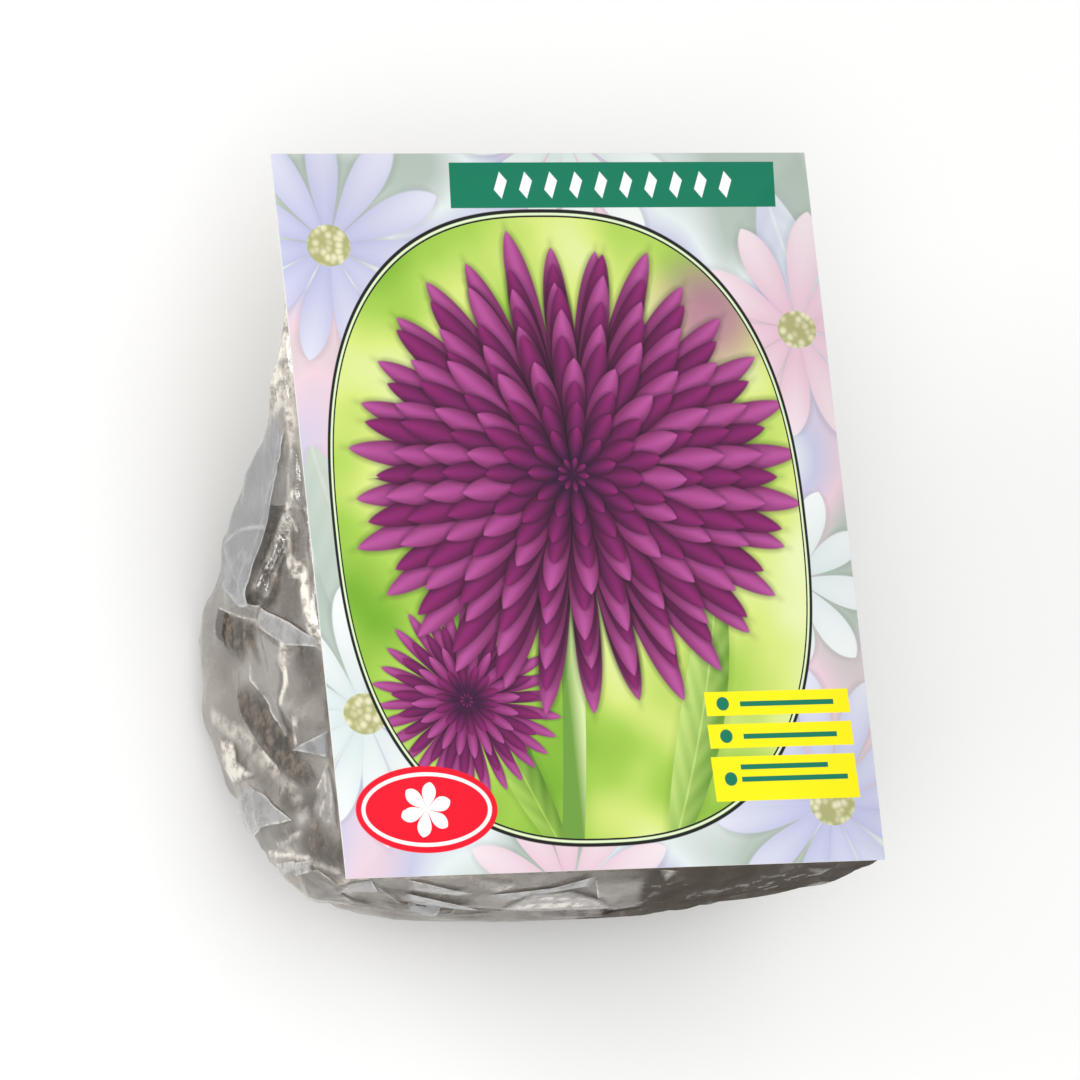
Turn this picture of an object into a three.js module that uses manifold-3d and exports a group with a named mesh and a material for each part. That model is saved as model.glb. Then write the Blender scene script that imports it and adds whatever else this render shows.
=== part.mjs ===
// A retail pack of one large flower bulb: a stiff picture card in front, and behind it a clear
// film bag that holds the bulb in dark, loose packing. The pack lies on its back.
// Millimetres: X to the card's right, Y to its top edge, Z out of its printed face. The origin is
// on the table, under the middle of the pack's box.
import * as THREE from "three";
import { mergeVertices } from "three/addons/utils/BufferGeometryUtils.js";
import Module from "manifold-3d";

// ---------- driving dimensions ----------
const CARD_WIDTH = 170;
const CARD_HEIGHT = 210;
const CARD_THICKNESS = 0.6;
const BAG_DEPTH = 79; // from the card's back to the table
const FILM_WALL = 0.8;
const REST_GAP = 0.3; // between pieces that rest on each other
const SEAM_START = 6; // the welded flat strip at the bag's top, below the card's top edge
const SEAM_END = 14;
const FOLD_HEIGHT = 1.7; // how far the film's broad folds stand out
const BACK_CORNER = 8; // the rounding between the side walls and the back
const END_CURVE = 0.8; // how much of the lower end's overhang is gone at its corners
const PACKING_CLEARANCE = 2.8; // from the film's inside to the packing
const PACKING_LUMP = 2.4;
const VENT_RADIUS = 5.5;
const SIDE_VENT = { down: 0.6, depth: 50 }; // in each side wall, behind the card
const BACK_VENT = { down: 0.33, depth: 46, across: 30 }; // two in the slope of the back
const BULB_RADIUS = 37.6;
const BULB_BODY = 60; // along the bulb's own axis, without its neck
const BULB_NECK = 15;
const BULB_PLACE = { x: -41, y: -23 }; // from the card's centre
const BULB_YAW = 9; // degrees, its neck turned to the card's left corner
const POCKET_GAP = 0.5; // round the bulb, in the packing

const RING_POINTS = 44;
const FRONT_POINTS = 8; // of those, the ones on the flat side behind the card

// The bag from its top seam to its lower end. down is the fraction of the card's height; left,
// right and middle are the bag's depth at its side walls and along its middle; half is its half
// width at the card; bulge is how far its side walls stand out; front is where its front begins.
const SEAM = { left: 2 * FILM_WALL, right: 2 * FILM_WALL, middle: 2 * FILM_WALL, half: 82 };
const STATIONS = [
  { down: SEAM_START / CARD_HEIGHT, ...SEAM, bulge: 0, front: 0 },
  { down: SEAM_END / CARD_HEIGHT, ...SEAM, bulge: 0, front: 0 },
  { down: 0.15, left: 2.4, right: 2.4, middle: 15, half: 83, bulge: 0, front: 0 },
  { down: 0.26, left: 3.5, right: 3.5, middle: 33, half: 84, bulge: 0, front: 0 },
  { down: 0.395, left: 34, right: 32, middle: 50, half: 84, bulge: 2, front: 0 },
  { down: 0.52, left: 62, right: 60, middle: 70, half: 84, bulge: 3.5, front: 0 },
  { down: 0.6, left: 78, right: 76, middle: 84, half: 84, bulge: 5, front: 0 },
  { down: 0.7, left: 77, right: 75, middle: 85, half: 84, bulge: 6, front: 0 },
  { down: 0.81, left: 70, right: 68, middle: 82, half: 84, bulge: 6, front: 0 },
  { down: 0.88, left: 59, right: 59, middle: 77, half: 84, bulge: 5, front: 0 },
  { down: 0.94, left: 48, right: 51, middle: 72, half: 84, bulge: 3.5, front: 0 },
  { down: 1.0, left: 28, right: 36, middle: 65, half: 83, bulge: 1, front: 0.4 },
  { down: 1.014, left: 23, right: 27, middle: 58, half: 79, bulge: 0, front: 6 },
  { down: 1.024, left: 24, right: 24, middle: 45, half: 72, bulge: 0, front: 20 },
];

// Where the packing's loose top slope begins, and how far it then lies behind the card.
const PILE_STATIONS = [
  { down: 0.45, front: 37 },
  { down: 0.5, front: 27 },
  { down: 0.6, front: 12 },
  { down: 0.72, front: 4 },
  { down: 0.9, front: 2.6 },
  { down: 1.008, front: 7 },
];

// ---------- small tools ----------
const lerp = THREE.MathUtils.lerp;

/** A smooth repeatable value from -1 to 1 that varies with both arguments. */
function lumpy(a, b) {
  return (
    (Math.sin(1.7 * a + 0.9 * b + 0.4) +
      Math.sin(-1.1 * a + 2.3 * b + 2.1) +
      Math.sin(2.9 * a - 1.3 * b + 4.0)) /
    3
  );
}

/** A wave of straight slopes and sharp crests, from 0 to 1, with one crest for each unit. */
function fold(phase) {
  return 1 - 2 * Math.abs(phase - Math.floor(phase) - 0.5);
}

/** Count values from first to last at even steps. */
function evenly(first, last, count) {
  return Array.from({ length: count }, (_, i) => lerp(first, last, i / (count - 1)));
}

/** The Y of a place that is a fraction of the card's height below its top edge. */
function placeDown(down) {
  return CARD_HEIGHT * (0.5 - down);
}

/** The stations' named value at a place down the card, on straight lines between them. */
function along(stations, key, down) {
  const last = stations.length - 2;
  let i = 0;
  while (i < last && down > stations[i + 1].down) i += 1;
  const a = stations[i];
  const b = stations[i + 1];
  const t = THREE.MathUtils.clamp((down - a.down) / (b.down - a.down), 0, 1);
  return lerp(a[key], b[key], t);
}

/** A closed body from rings of equal length, each end shut by a fan round its middle. */
function ringStack(rings) {
  const count = rings[0].length;
  const points = rings.flat();
  const middleOf = (ring) =>
    ring.reduce((sum, p) => sum.add(p), new THREE.Vector3()).divideScalar(ring.length);
  const firstMiddle = points.length;
  const lastMiddle = points.length + 1;
  points.push(middleOf(rings[0]), middleOf(rings[rings.length - 1]));
  const index = [];
  for (let r = 0; r + 1 < rings.length; r += 1) {
    for (let i = 0; i < count; i += 1) {
      const a = r * count + i;
      const b = r * count + ((i + 1) % count);
      index.push(a, a + count, b, b, a + count, b + count);
    }
  }
  const lastRing = (rings.length - 1) * count;
  for (let i = 0; i < count; i += 1) {
    const next = (i + 1) % count;
    index.push(firstMiddle, i, next);
    index.push(lastMiddle, lastRing + next, lastRing + i);
  }
  const geometry = new THREE.BufferGeometry().setFromPoints(points);
  geometry.setIndex(index);
  return geometry;
}

const wasm = await Module();
wasm.setup();

/** A geometry as a solid that can be joined and cut. */
function solidOf(geometry) {
  const bare = geometry.clone();
  bare.deleteAttribute("normal");
  bare.deleteAttribute("uv");
  const merged = mergeVertices(bare, 1e-4);
  return new wasm.Manifold(
    new wasm.Mesh({
      numProp: 3,
      vertProperties: merged.getAttribute("position").array,
      triVerts: new Uint32Array(merged.index.array),
    }),
  );
}

/** A solid's surface as a geometry. */
function geometryOf(solid) {
  const mesh = solid.getMesh();
  const geometry = new THREE.BufferGeometry();
  geometry.setAttribute("position", new THREE.BufferAttribute(mesh.vertProperties, 3));
  geometry.setIndex(new THREE.BufferAttribute(mesh.triVerts, 1));
  return geometry;
}

/** The largest of the bodies that a cut has left. */
function largestBody(solid) {
  return solid.decompose().reduce((best, body) => (body.volume() > best.volume() ? body : best));
}

// ---------- the bag's form ----------
/** One cross-section of the bag, set inside its outer surface by inset, from a given front. */
function bagRing(down, inset, front) {
  const left = along(STATIONS, "left", down) - inset;
  const right = along(STATIONS, "right", down) - inset;
  const middle = along(STATIONS, "middle", down) - inset;
  const half = along(STATIONS, "half", down) - inset;
  const bulge = along(STATIONS, "bulge", down);
  const overhang = CARD_HEIGHT * Math.max(down - 1, 0);
  const back = (x) => {
    const side = lerp(left, right, 0.5 + (0.5 * x) / half);
    return side + (middle - side) * (1 - Math.abs(x / half) ** 2.6);
  };
  const place = (x, depth) => {
    const y = placeDown(down) + END_CURVE * overhang * Math.min(Math.abs(x / half), 1) ** 3;
    return new THREE.Vector3(x, y, -depth);
  };
  const edge = (side) => {
    const wall = Math.max(side - front, 0.2);
    const corner = Math.min(0.3 * wall, BACK_CORNER);
    return [
      [half, front],
      [half + 0.7 * bulge, front + 0.3 * wall],
      [half + bulge, front + 0.62 * wall],
      [half + 0.8 * bulge - 0.12 * corner, front + wall - 0.75 * corner],
      [half - 0.45 * corner, front + wall - 0.14 * corner],
    ];
  };
  const backHalf = half - 1.3 * BACK_CORNER;
  const path = edge(right).map(([x, depth]) => place(x, depth));
  for (const share of [1, 0.72, 0.36, 0, -0.36, -0.72, -1])
    path.push(place(share * backHalf, back(share * backHalf)));
  path.push(...edge(left).reverse().map(([x, depth]) => place(-x, depth)));
  const curve = new THREE.CatmullRomCurve3(path, false, "centripetal");
  const ring = curve.getSpacedPoints(RING_POINTS - FRONT_POINTS);
  for (let i = 1; i < FRONT_POINTS; i += 1)
    ring.push(place(lerp(-half, half, i / FRONT_POINTS), front));
  return ring;
}

/** Outward directions of a stack of rings, by ring and place. */
function normalsOf(rings) {
  const geometry = ringStack(rings);
  geometry.computeVertexNormals();
  const normal = geometry.getAttribute("normal");
  return rings.map((ring, r) =>
    ring.map((_, i) => new THREE.Vector3().fromBufferAttribute(normal, r * ring.length + i)),
  );
}

/** How far the film's broad straight folds stand out at a place round and along the bag. */
function filmFold(around, down) {
  const slanted = fold(4.3 * around + 2.9 * down + 0.2);
  const crossing = 0.8 * fold(6.4 * around - 4.1 * down + 0.65);
  const level = 0.5 * fold(1.6 * around + 6.8 * down + 0.3);
  const fade = THREE.MathUtils.smoothstep(down, 0.1, 0.3);
  return FOLD_HEIGHT * fade * (slanted + crossing + level);
}

// Where the cross-sections lie down the card: the welded seam, the slope, the belly, the end.
const BAG_DOWNS = [
  STATIONS[0].down,
  STATIONS[1].down,
  ...evenly(0.1, 0.25, 4),
  ...evenly(0.29, 0.81, 14),
  ...evenly(0.84, 1.0, 6),
  STATIONS[12].down,
  STATIONS[13].down,
];
const FIRST_HOLLOW = 3; // the seam above this cross-section is solid
const LAST_HOLLOW = BAG_DOWNS.length - 2;

/** The film: an outer form, hollowed by the same form one wall inside it, and vented. */
function bagFilm() {
  const base = BAG_DOWNS.map((down) => bagRing(down, 0, along(STATIONS, "front", down)));
  const normals = normalsOf(base);
  const isFront = (i) => i === 0 || i > RING_POINTS - FRONT_POINTS;
  const shell = (wall) =>
    base.map((ring, r) =>
      ring.map((p, i) => {
        const out = isFront(i) ? 0 : filmFold(i / RING_POINTS, BAG_DOWNS[r]);
        const q = p.clone().addScaledVector(normals[r][i], out - wall);
        return q.setZ(THREE.MathUtils.clamp(q.z, wall - BAG_DEPTH, -wall));
      }),
    );
  const hollow = shell(FILM_WALL).slice(FIRST_HOLLOW, LAST_HOLLOW + 1);
  let film = solidOf(ringStack(shell(0))).subtract(solidOf(ringStack(hollow)));
  for (const vent of vents()) film = film.subtract(solidOf(vent));
  return geometryOf(largestBody(film));
}

/** The punched vent holes: one in each side wall and two in the slope of the back. */
function vents() {
  const punch = 16; // long enough to pass the wall and short of the packing
  return [-1, 1].flatMap((side) => {
    const inSide = new THREE.CylinderGeometry(VENT_RADIUS, VENT_RADIUS, punch, 20);
    inSide.rotateZ(Math.PI / 2);
    inSide.translate((side * CARD_WIDTH) / 2, placeDown(SIDE_VENT.down), -SIDE_VENT.depth);
    const inBack = new THREE.CylinderGeometry(VENT_RADIUS, VENT_RADIUS, 2 * punch, 20);
    inBack.rotateX(Math.PI / 2);
    inBack.translate(side * BACK_VENT.across, placeDown(BACK_VENT.down), -BACK_VENT.depth);
    return [inSide, inBack];
  });
}

// ---------- the bulb ----------
/** The bulb's outline from its root plate to the tip of its neck, as radius and height. */
function bulbOutline() {
  const r = BULB_RADIUS;
  const low = -BULB_BODY / 2;
  const high = BULB_BODY / 2;
  const flank = new THREE.SplineCurve([
    new THREE.Vector2(0.3 * r, low),
    new THREE.Vector2(0.8 * r, low + 0.1 * BULB_BODY),
    new THREE.Vector2(r, low + 0.38 * BULB_BODY),
    new THREE.Vector2(0.9 * r, low + 0.66 * BULB_BODY),
    new THREE.Vector2(0.52 * r, high - 0.08 * BULB_BODY),
    new THREE.Vector2(0.2 * r, high + 0.12 * BULB_NECK),
    new THREE.Vector2(0.13 * r, high + 0.6 * BULB_NECK),
    new THREE.Vector2(0.09 * r, high + BULB_NECK),
  ]);
  return [
    new THREE.Vector2(0, low + 1.2),
    ...flank.getPoints(17),
    new THREE.Vector2(0, high + BULB_NECK + 1),
  ];
}

/** The bulb's body with slightly ribbed skin, resting on the film, its neck to the card's top. */
function bulb() {
  const geometry = new THREE.LatheGeometry(bulbOutline(), 32);
  const place = geometry.getAttribute("position");
  const p = new THREE.Vector3();
  for (let i = 0; i < place.count; i += 1) {
    p.fromBufferAttribute(place, i);
    const angle = Math.atan2(p.x, p.z);
    const rib = 1 - 0.02 * (1 + Math.cos(3 * angle + 0.6)) - 0.008 * (1 + Math.cos(7 * angle));
    place.setXYZ(i, p.x * rib, p.y, p.z * rib);
  }
  geometry.rotateZ(THREE.MathUtils.degToRad(BULB_YAW));
  geometry.computeBoundingBox();
  const rest = FILM_WALL + REST_GAP - BAG_DEPTH - geometry.boundingBox.min.z;
  return geometryOf(solidOf(geometry.translate(BULB_PLACE.x, BULB_PLACE.y, rest)));
}

/** The same body, swollen by the gap that its pocket in the packing leaves. */
function bulbPocket() {
  const geometry = bulb();
  geometry.computeVertexNormals();
  const place = geometry.getAttribute("position");
  const normal = geometry.getAttribute("normal");
  const p = new THREE.Vector3();
  const out = new THREE.Vector3();
  for (let i = 0; i < place.count; i += 1) {
    out.fromBufferAttribute(normal, i).multiplyScalar(POCKET_GAP);
    p.fromBufferAttribute(place, i).add(out);
    place.setXYZ(i, p.x, p.y, p.z);
  }
  return geometry;
}

// ---------- the packing ----------
const PACKING_RINGS = 24;

/** The loose packing: the bag's form drawn in, with a sloping top and a pocket for the bulb. */
function packing() {
  const last = PILE_STATIONS[PILE_STATIONS.length - 1].down;
  const downs = evenly(PILE_STATIONS[0].down, last, PACKING_RINGS);
  const inset = FILM_WALL + PACKING_CLEARANCE;
  const base = downs.map((down) => bagRing(down, inset, along(PILE_STATIONS, "front", down)));
  const normals = normalsOf(base);
  const floor = -BAG_DEPTH + FILM_WALL + REST_GAP;
  const rings = base.map((ring, r) =>
    ring.map((p, i) => {
      const turn = (2 * Math.PI * i) / RING_POINTS;
      const lump = 0.5 + 0.5 * lumpy(4 * turn, 0.9 * r);
      const q = p.clone().addScaledVector(normals[r][i], -PACKING_LUMP * lump);
      return q.setZ(Math.max(q.z, floor));
    }),
  );
  return geometryOf(largestBody(solidOf(ringStack(rings)).subtract(solidOf(bulbPocket()))));
}

// ---------- the card ----------
/** The flat board in front of the bag. */
function pictureCard() {
  const geometry = new THREE.BoxGeometry(CARD_WIDTH, CARD_HEIGHT, CARD_THICKNESS);
  return geometry.translate(0, 0, REST_GAP + CARD_THICKNESS / 2);
}

// ---------- the pack ----------
const pieces = [
  { name: "picture_card", geometry: pictureCard(), color: 0xd6d6ee, roughness: 0.6, metalness: 0 },
  { name: "bag_film", geometry: bagFilm(), color: 0xb4b0aa, roughness: 0.15, metalness: 0 },
  { name: "bulb", geometry: bulb(), color: 0xc9ab84, roughness: 0.7, metalness: 0 },
  { name: "packing", geometry: packing(), color: 0x57504a, roughness: 0.95, metalness: 0 },
];

const pack = new THREE.Group();
for (const { name, geometry, ...finish } of pieces) {
  const mesh = new THREE.Mesh(geometry, new THREE.MeshStandardMaterial(finish));
  mesh.name = name;
  pack.add(mesh);
}
const box = new THREE.Box3().setFromObject(pack);
const middle = box.getCenter(new THREE.Vector3());
pack.position.set(-middle.x, -middle.y, -box.min.z);

export default pack;
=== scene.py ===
"""A retail pack of one flower bulb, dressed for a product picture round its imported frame.

A printed picture card lies in front of a clear, crumpled film bag. The bag holds one large bulb in
dark, loose packing. Sizes of the bag's form are in millimetres, as on a pack maker's drawing;
everything in the scene is in metres.
"""

import logging
import math
from dataclasses import dataclass, field
from enum import Enum
from functools import partialmethod
from typing import Iterable, Optional, Union

import bmesh
import bpy
import numpy as np
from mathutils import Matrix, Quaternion, Vector, geometry, noise
from mathutils.bvhtree import BVHTree


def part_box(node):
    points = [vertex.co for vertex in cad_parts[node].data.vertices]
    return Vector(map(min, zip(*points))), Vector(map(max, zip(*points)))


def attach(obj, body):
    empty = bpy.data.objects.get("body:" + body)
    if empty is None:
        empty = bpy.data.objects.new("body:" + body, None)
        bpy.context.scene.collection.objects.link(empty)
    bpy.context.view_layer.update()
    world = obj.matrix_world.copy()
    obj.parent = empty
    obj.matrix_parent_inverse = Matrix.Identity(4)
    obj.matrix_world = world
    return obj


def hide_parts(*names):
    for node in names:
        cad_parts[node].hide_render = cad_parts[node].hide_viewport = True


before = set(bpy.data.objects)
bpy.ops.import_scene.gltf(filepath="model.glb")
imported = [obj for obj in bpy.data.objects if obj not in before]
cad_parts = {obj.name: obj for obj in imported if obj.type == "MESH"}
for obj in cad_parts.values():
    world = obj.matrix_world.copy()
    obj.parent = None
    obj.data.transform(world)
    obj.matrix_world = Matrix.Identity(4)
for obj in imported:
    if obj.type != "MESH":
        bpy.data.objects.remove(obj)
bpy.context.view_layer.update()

LOG = logging.getLogger("bulb_pack")
MM = 0.001
ROOT = "root"
HAIR = 1e-6
MERGE = 1e-4
FAR = 99.0

Number = Union[int, float]
Pair = tuple[float, float]
Triple = tuple[float, float, float]
Array = np.ndarray
Piece = bpy.types.Object
Mesh = bpy.types.Mesh
Material = bpy.types.Material
Tree = bpy.types.NodeTree


# ---------- shader arithmetic ----------
class Wire:
    """One output of a node tree that takes part in arithmetic."""

    def __init__(self, graph: "Graph", socket: bpy.types.NodeSocket) -> None:
        """Keeps the socket and the graph that it belongs to."""
        self.graph = graph
        self.socket = socket

    def then(self, operation: str, *others: "Term") -> "Wire":
        """The result of one operation on this wire and others."""
        return self.graph.math(operation, self, *others)

    __add__ = partialmethod(then, "ADD")
    __sub__ = partialmethod(then, "SUBTRACT")
    __mul__ = partialmethod(then, "MULTIPLY")
    __truediv__ = partialmethod(then, "DIVIDE")
    __pow__ = partialmethod(then, "POWER")
    __abs__ = partialmethod(then, "ABSOLUTE")
    fraction = partialmethod(then, "FRACT")
    whole = partialmethod(then, "FLOOR")
    most = partialmethod(then, "MAXIMUM")

    def __rsub__(self, other: "Term") -> "Wire":
        """The difference from a plain number."""
        return self.graph.math("SUBTRACT", other, self)

    def clamped(self) -> "Wire":
        """The value held between 0 and 1."""
        return self.graph.math("ADD", self, 0.0, clamp=True)

    def rise(self, low: "Term", high: "Term") -> "Wire":
        """A smooth step from 0 at low to 1 at high.

        Args:
            low: where it starts.
            high: where it ends.

        Returns:
            The step.
        """
        inputs = {"Value": self, "From Min": low, "From Max": high}
        made = self.graph.node("ShaderNodeMapRange", inputs, interpolation_type="SMOOTHSTEP")
        return Wire(self.graph, made.outputs["Result"])

    def scaled(self, factor: "Term", more: "Term" = 0.0, clamp: bool = False) -> "Wire":
        """The value times a factor, plus another, held between 0 and 1 if asked."""
        return self.graph.math("MULTIPLY_ADD", self, factor, more, clamp=clamp)

    def under(self, limit: Number, soft: Number) -> "Wire":
        """1 where the value is below the limit, and 0 above it, over a soft edge."""
        return self.scaled(-1 / soft, limit / soft + 0.5, clamp=True)


Term = Union[Wire, Number]
Colour = Triple
Inputs = dict[Union[str, int], object]


class Graph:
    """Writes one node tree."""

    def __init__(self, tree: Tree) -> None:
        """Keeps the tree that the nodes go into."""
        self.tree = tree

    def node(
        self, kind: str, inputs: Optional[Inputs] = None, **settings: object
    ) -> bpy.types.Node:
        """A new node with its settings made.

        Args:
            kind: the node's type name.
            inputs: what goes in, if anything.
            **settings: its properties by name.

        Returns:
            The node.
        """
        made = self.tree.nodes.new(kind)
        for name, value in settings.items():
            setattr(made, name, value)
        self.feed(made, inputs or {})
        return made

    def put(self, socket: bpy.types.NodeSocket, value: object) -> None:
        """Links a wire to an input, or sets the input's own value.

        Args:
            socket: the input.
            value: a wire, a number, or a colour or vector as a tuple.
        """
        if isinstance(value, Wire):
            self.tree.links.new(value.socket, socket)
        elif isinstance(value, tuple) and socket.type == "RGBA":
            socket.default_value = (*value[:3], 1.0)
        else:
            socket.default_value = value

    def feed(self, node: bpy.types.Node, inputs: Inputs) -> None:
        """Links or sets several inputs of a node.

        Args:
            node: the node.
            inputs: what goes in, by the input's name or number.
        """
        for key, value in inputs.items():
            self.put(node.inputs[key], value)

    def math(self, operation: str, *terms: Term, clamp: bool = False) -> Wire:
        """One arithmetic node.

        Args:
            operation: the Math node's operation.
            *terms: wires or plain numbers.
            clamp: whether the result is held between 0 and 1.

        Returns:
            The result.
        """
        inputs = dict(enumerate(terms))
        made = self.node("ShaderNodeMath", inputs, operation=operation, use_clamp=clamp)
        return Wire(self, made.outputs[0])

    def mix(self, share: Term, first: object, second: object, blend: str = "MIX") -> Wire:
        """A mix of two colours.

        Args:
            share: how much of the second colour shows.
            first: a wire or a colour.
            second: a wire or a colour.
            blend: the way they are mixed.

        Returns:
            The mixed colour.
        """
        inputs = {0: share, 6: first, 7: second}
        made = self.node("ShaderNodeMix", inputs, data_type="RGBA", blend_type=blend)
        return Wire(self, made.outputs[2])

    def parts(self, vector: Wire) -> tuple[Wire, Wire, Wire]:
        """The three parts of a vector."""
        made = self.node("ShaderNodeSeparateXYZ", {0: vector})
        return tuple(Wire(self, out) for out in made.outputs)

    def vector(self, x: Term, y: Term, z: Term = 0.0) -> Wire:
        """A vector of three parts."""
        return Wire(self, self.node("ShaderNodeCombineXYZ", {0: x, 1: y, 2: z}).outputs[0])

    def noise(self, at: Wire, scale: float, detail: float = 3.0, rough: float = 0.5) -> Wire:
        """Soft noise from 0 to 1.

        Args:
            at: where it is read.
            scale: how fine it is.
            detail: how many finer layers it has.
            rough: how strong those are.

        Returns:
            The noise value.
        """
        inputs = {"Vector": at, "Scale": scale, "Detail": detail, "Roughness": rough}
        return Wire(self, self.node("ShaderNodeTexNoise", inputs).outputs[0])

    def cells(self, at: Wire, scale: float) -> Wire:
        """Cell noise: how far the middle of the nearest cell is.

        Args:
            at: where it is read.
            scale: how small the cells are.

        Returns:
            The distance.
        """
        made = self.node("ShaderNodeTexVoronoi", {"Vector": at, "Scale": scale})
        return Wire(self, made.outputs["Distance"])

    def chance(self, seed: Wire) -> Wire:
        """A repeatable random value from 0 to 1 for each whole number."""
        made = self.node("ShaderNodeTexWhiteNoise", {"W": seed}, noise_dimensions="1D")
        return Wire(self, made.outputs["Value"])

    def ramp(self, value: Term, stops: Iterable[tuple[float, Colour]]) -> Wire:
        """A colour that follows a value through several stops.

        Args:
            value: a wire from 0 to 1.
            stops: places and their colours.

        Returns:
            The colour.
        """
        made = self.node("ShaderNodeValToRGB", {0: value})
        elements = made.color_ramp.elements
        listed = list(stops)
        while len(elements) < len(listed):
            elements.new(0.5)
        for element, (place, colour) in zip(elements, listed):
            element.position = place
            element.color = (*colour, 1.0)
        return Wire(self, made.outputs[0])

    def place(self, scale: Number = 1.0) -> Wire:
        """The point on the piece, in millimetres times a scale.

        Args:
            scale: the scale.

        Returns:
            The point.
        """
        coords = self.node("ShaderNodeTexCoord")
        mapping = self.node("ShaderNodeMapping")
        self.tree.links.new(coords.outputs["Object"], mapping.inputs["Vector"])
        mapping.inputs["Scale"].default_value = (scale / MM,) * 3
        return Wire(self, mapping.outputs[0])

    def attribute(self, name: str) -> Wire:
        """A value that the piece's mesh carries."""
        made = self.node("ShaderNodeAttribute", attribute_name=name)
        return Wire(self, made.outputs["Fac"])

    def group(self, tree: Tree, **inputs: object) -> list[Wire]:
        """A node group with its inputs set.

        Args:
            tree: the group.
            **inputs: values by the names of its inputs.

        Returns:
            Its outputs in order.
        """
        made = self.node("ShaderNodeGroup", inputs, node_tree=tree)
        return [Wire(self, out) for out in made.outputs]

    def bump(self, height: Wire, strength: float, distance: float) -> Wire:
        """A surface normal from a height.

        Args:
            height: the height from 0 to 1.
            strength: the share of it that shows.
            distance: the height of 1, in metres.

        Returns:
            The normal.
        """
        inputs = {"Strength": strength, "Distance": distance, "Height": height}
        return Wire(self, self.node("ShaderNodeBump", inputs).outputs[0])


def srgb(code: str) -> Colour:
    """A linear colour from its usual six-digit code."""
    shares = [int(code[i : i + 2], 16) / 255 for i in (0, 2, 4)]
    return tuple(c / 12.92 if c < 0.04045 else ((c + 0.055) / 1.055) ** 2.4 for c in shares)


def new_group(
    name: str, values: Iterable[str], colours: Iterable[str], outputs: dict[str, str]
) -> tuple[Graph, dict[str, Wire], bpy.types.Node]:
    """An empty shader group.

    Args:
        name: the group's name.
        values: the names of the inputs that take a value.
        colours: the names of the inputs that take a colour.
        outputs: the outputs' names and socket kinds.

    Returns:
        The graph, its inputs by name, and the node that takes its outputs.
    """
    tree = bpy.data.node_groups.new(name, "ShaderNodeTree")
    inputs = {**dict.fromkeys(values, FLOAT), **dict.fromkeys(colours, COLOUR)}
    for label, kind in inputs.items():
        tree.interface.new_socket(label, in_out="INPUT", socket_type=kind)
    for label, kind in outputs.items():
        tree.interface.new_socket(label, in_out="OUTPUT", socket_type=kind)
    graph = Graph(tree)
    source = graph.node("NodeGroupInput")
    target = graph.node("NodeGroupOutput")
    wires = {label: Wire(graph, source.outputs[label]) for label in inputs}
    return graph, wires, target


FLOAT = "NodeSocketFloat"
COLOUR = "NodeSocketColor"


class Slot(Enum):
    """The record's material slots."""

    CARD = "card_print"
    FILM = "clear_film"
    BULB = "bulb_skin"
    PACKING = "loose_packing"


class Node(Enum):
    """The solids that the dressed pieces stand for."""

    CARD = "picture_card"
    FILM = "bag_film"
    BULB = "bulb"
    PACKING = "packing"


# ---------- modelling steps ----------
def clear_selection() -> None:
    """Leaves edit mode and deselects every object."""
    if bpy.context.object and bpy.context.object.mode != "OBJECT":
        bpy.ops.object.mode_set(mode="OBJECT")
    bpy.ops.object.select_all(action="DESELECT")


def take(piece: Piece) -> Piece:
    """Makes a piece the only selected and the active one.

    Args:
        piece: the object.

    Returns:
        The same object.
    """
    clear_selection()
    piece.select_set(True)
    bpy.context.view_layer.objects.active = piece
    return piece


def link(name: str, mesh: Mesh) -> Piece:
    """A new object for a mesh, linked to the scene.

    Args:
        name: its name.
        mesh: the mesh.

    Returns:
        The object.
    """
    piece = bpy.data.objects.new(name, mesh)
    bpy.context.scene.collection.objects.link(piece)
    return piece


def settle(piece: Piece) -> Piece:
    """Applies a piece's modifiers and place, so that it sits at the origin.

    Args:
        piece: a mesh object.

    Returns:
        The same object.
    """
    take(piece)
    for modifier in list(piece.modifiers):
        bpy.ops.object.modifier_apply(modifier=modifier.name)
    bpy.ops.object.transform_apply(location=True, rotation=True, scale=True)
    return piece


def points_of(mesh: Mesh, what: str = "co") -> Array:
    """What a mesh's points hold, as rows of three numbers.

    Args:
        mesh: the mesh.
        what: co for their places, or normal for their normals.

    Returns:
        One row for each point.
    """
    flat = np.empty(len(mesh.vertices) * 3)
    mesh.vertices.foreach_get(what, flat)
    return flat.reshape(-1, 3)


def set_points(mesh: Mesh, points: Array) -> None:
    """Moves a mesh's points to new places."""
    mesh.vertices.foreach_set("co", points.ravel())
    mesh.update()


def point_value(mesh: Mesh, name: str, values: Array) -> None:
    """Stores one number for each point of a mesh."""
    layer = mesh.attributes.new(name, "FLOAT", "POINT")
    layer.data.foreach_set("value", values.astype(np.float32))


def noise_at(points: Array, scale: float, seed: float = 0.0) -> Array:
    """Soft noise from about -1 to 1 at each point.

    Args:
        points: rows of x, y and z.
        scale: how fine the noise is, per unit of the points.
        seed: a shift that gives another pattern.

    Returns:
        One value for each point.
    """
    moved = points * scale + seed
    return np.array([noise.noise(Vector(p)) for p in moved])


def lumps(name: str, size: float) -> bpy.types.Texture:
    """A texture of pebble shapes for a Displace modifier.

    Args:
        name: its name.
        size: the size of a lump in metres.

    Returns:
        The texture.
    """
    texture = bpy.data.textures.new(name, "VORONOI")
    texture.noise_scale = size
    return texture


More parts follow.
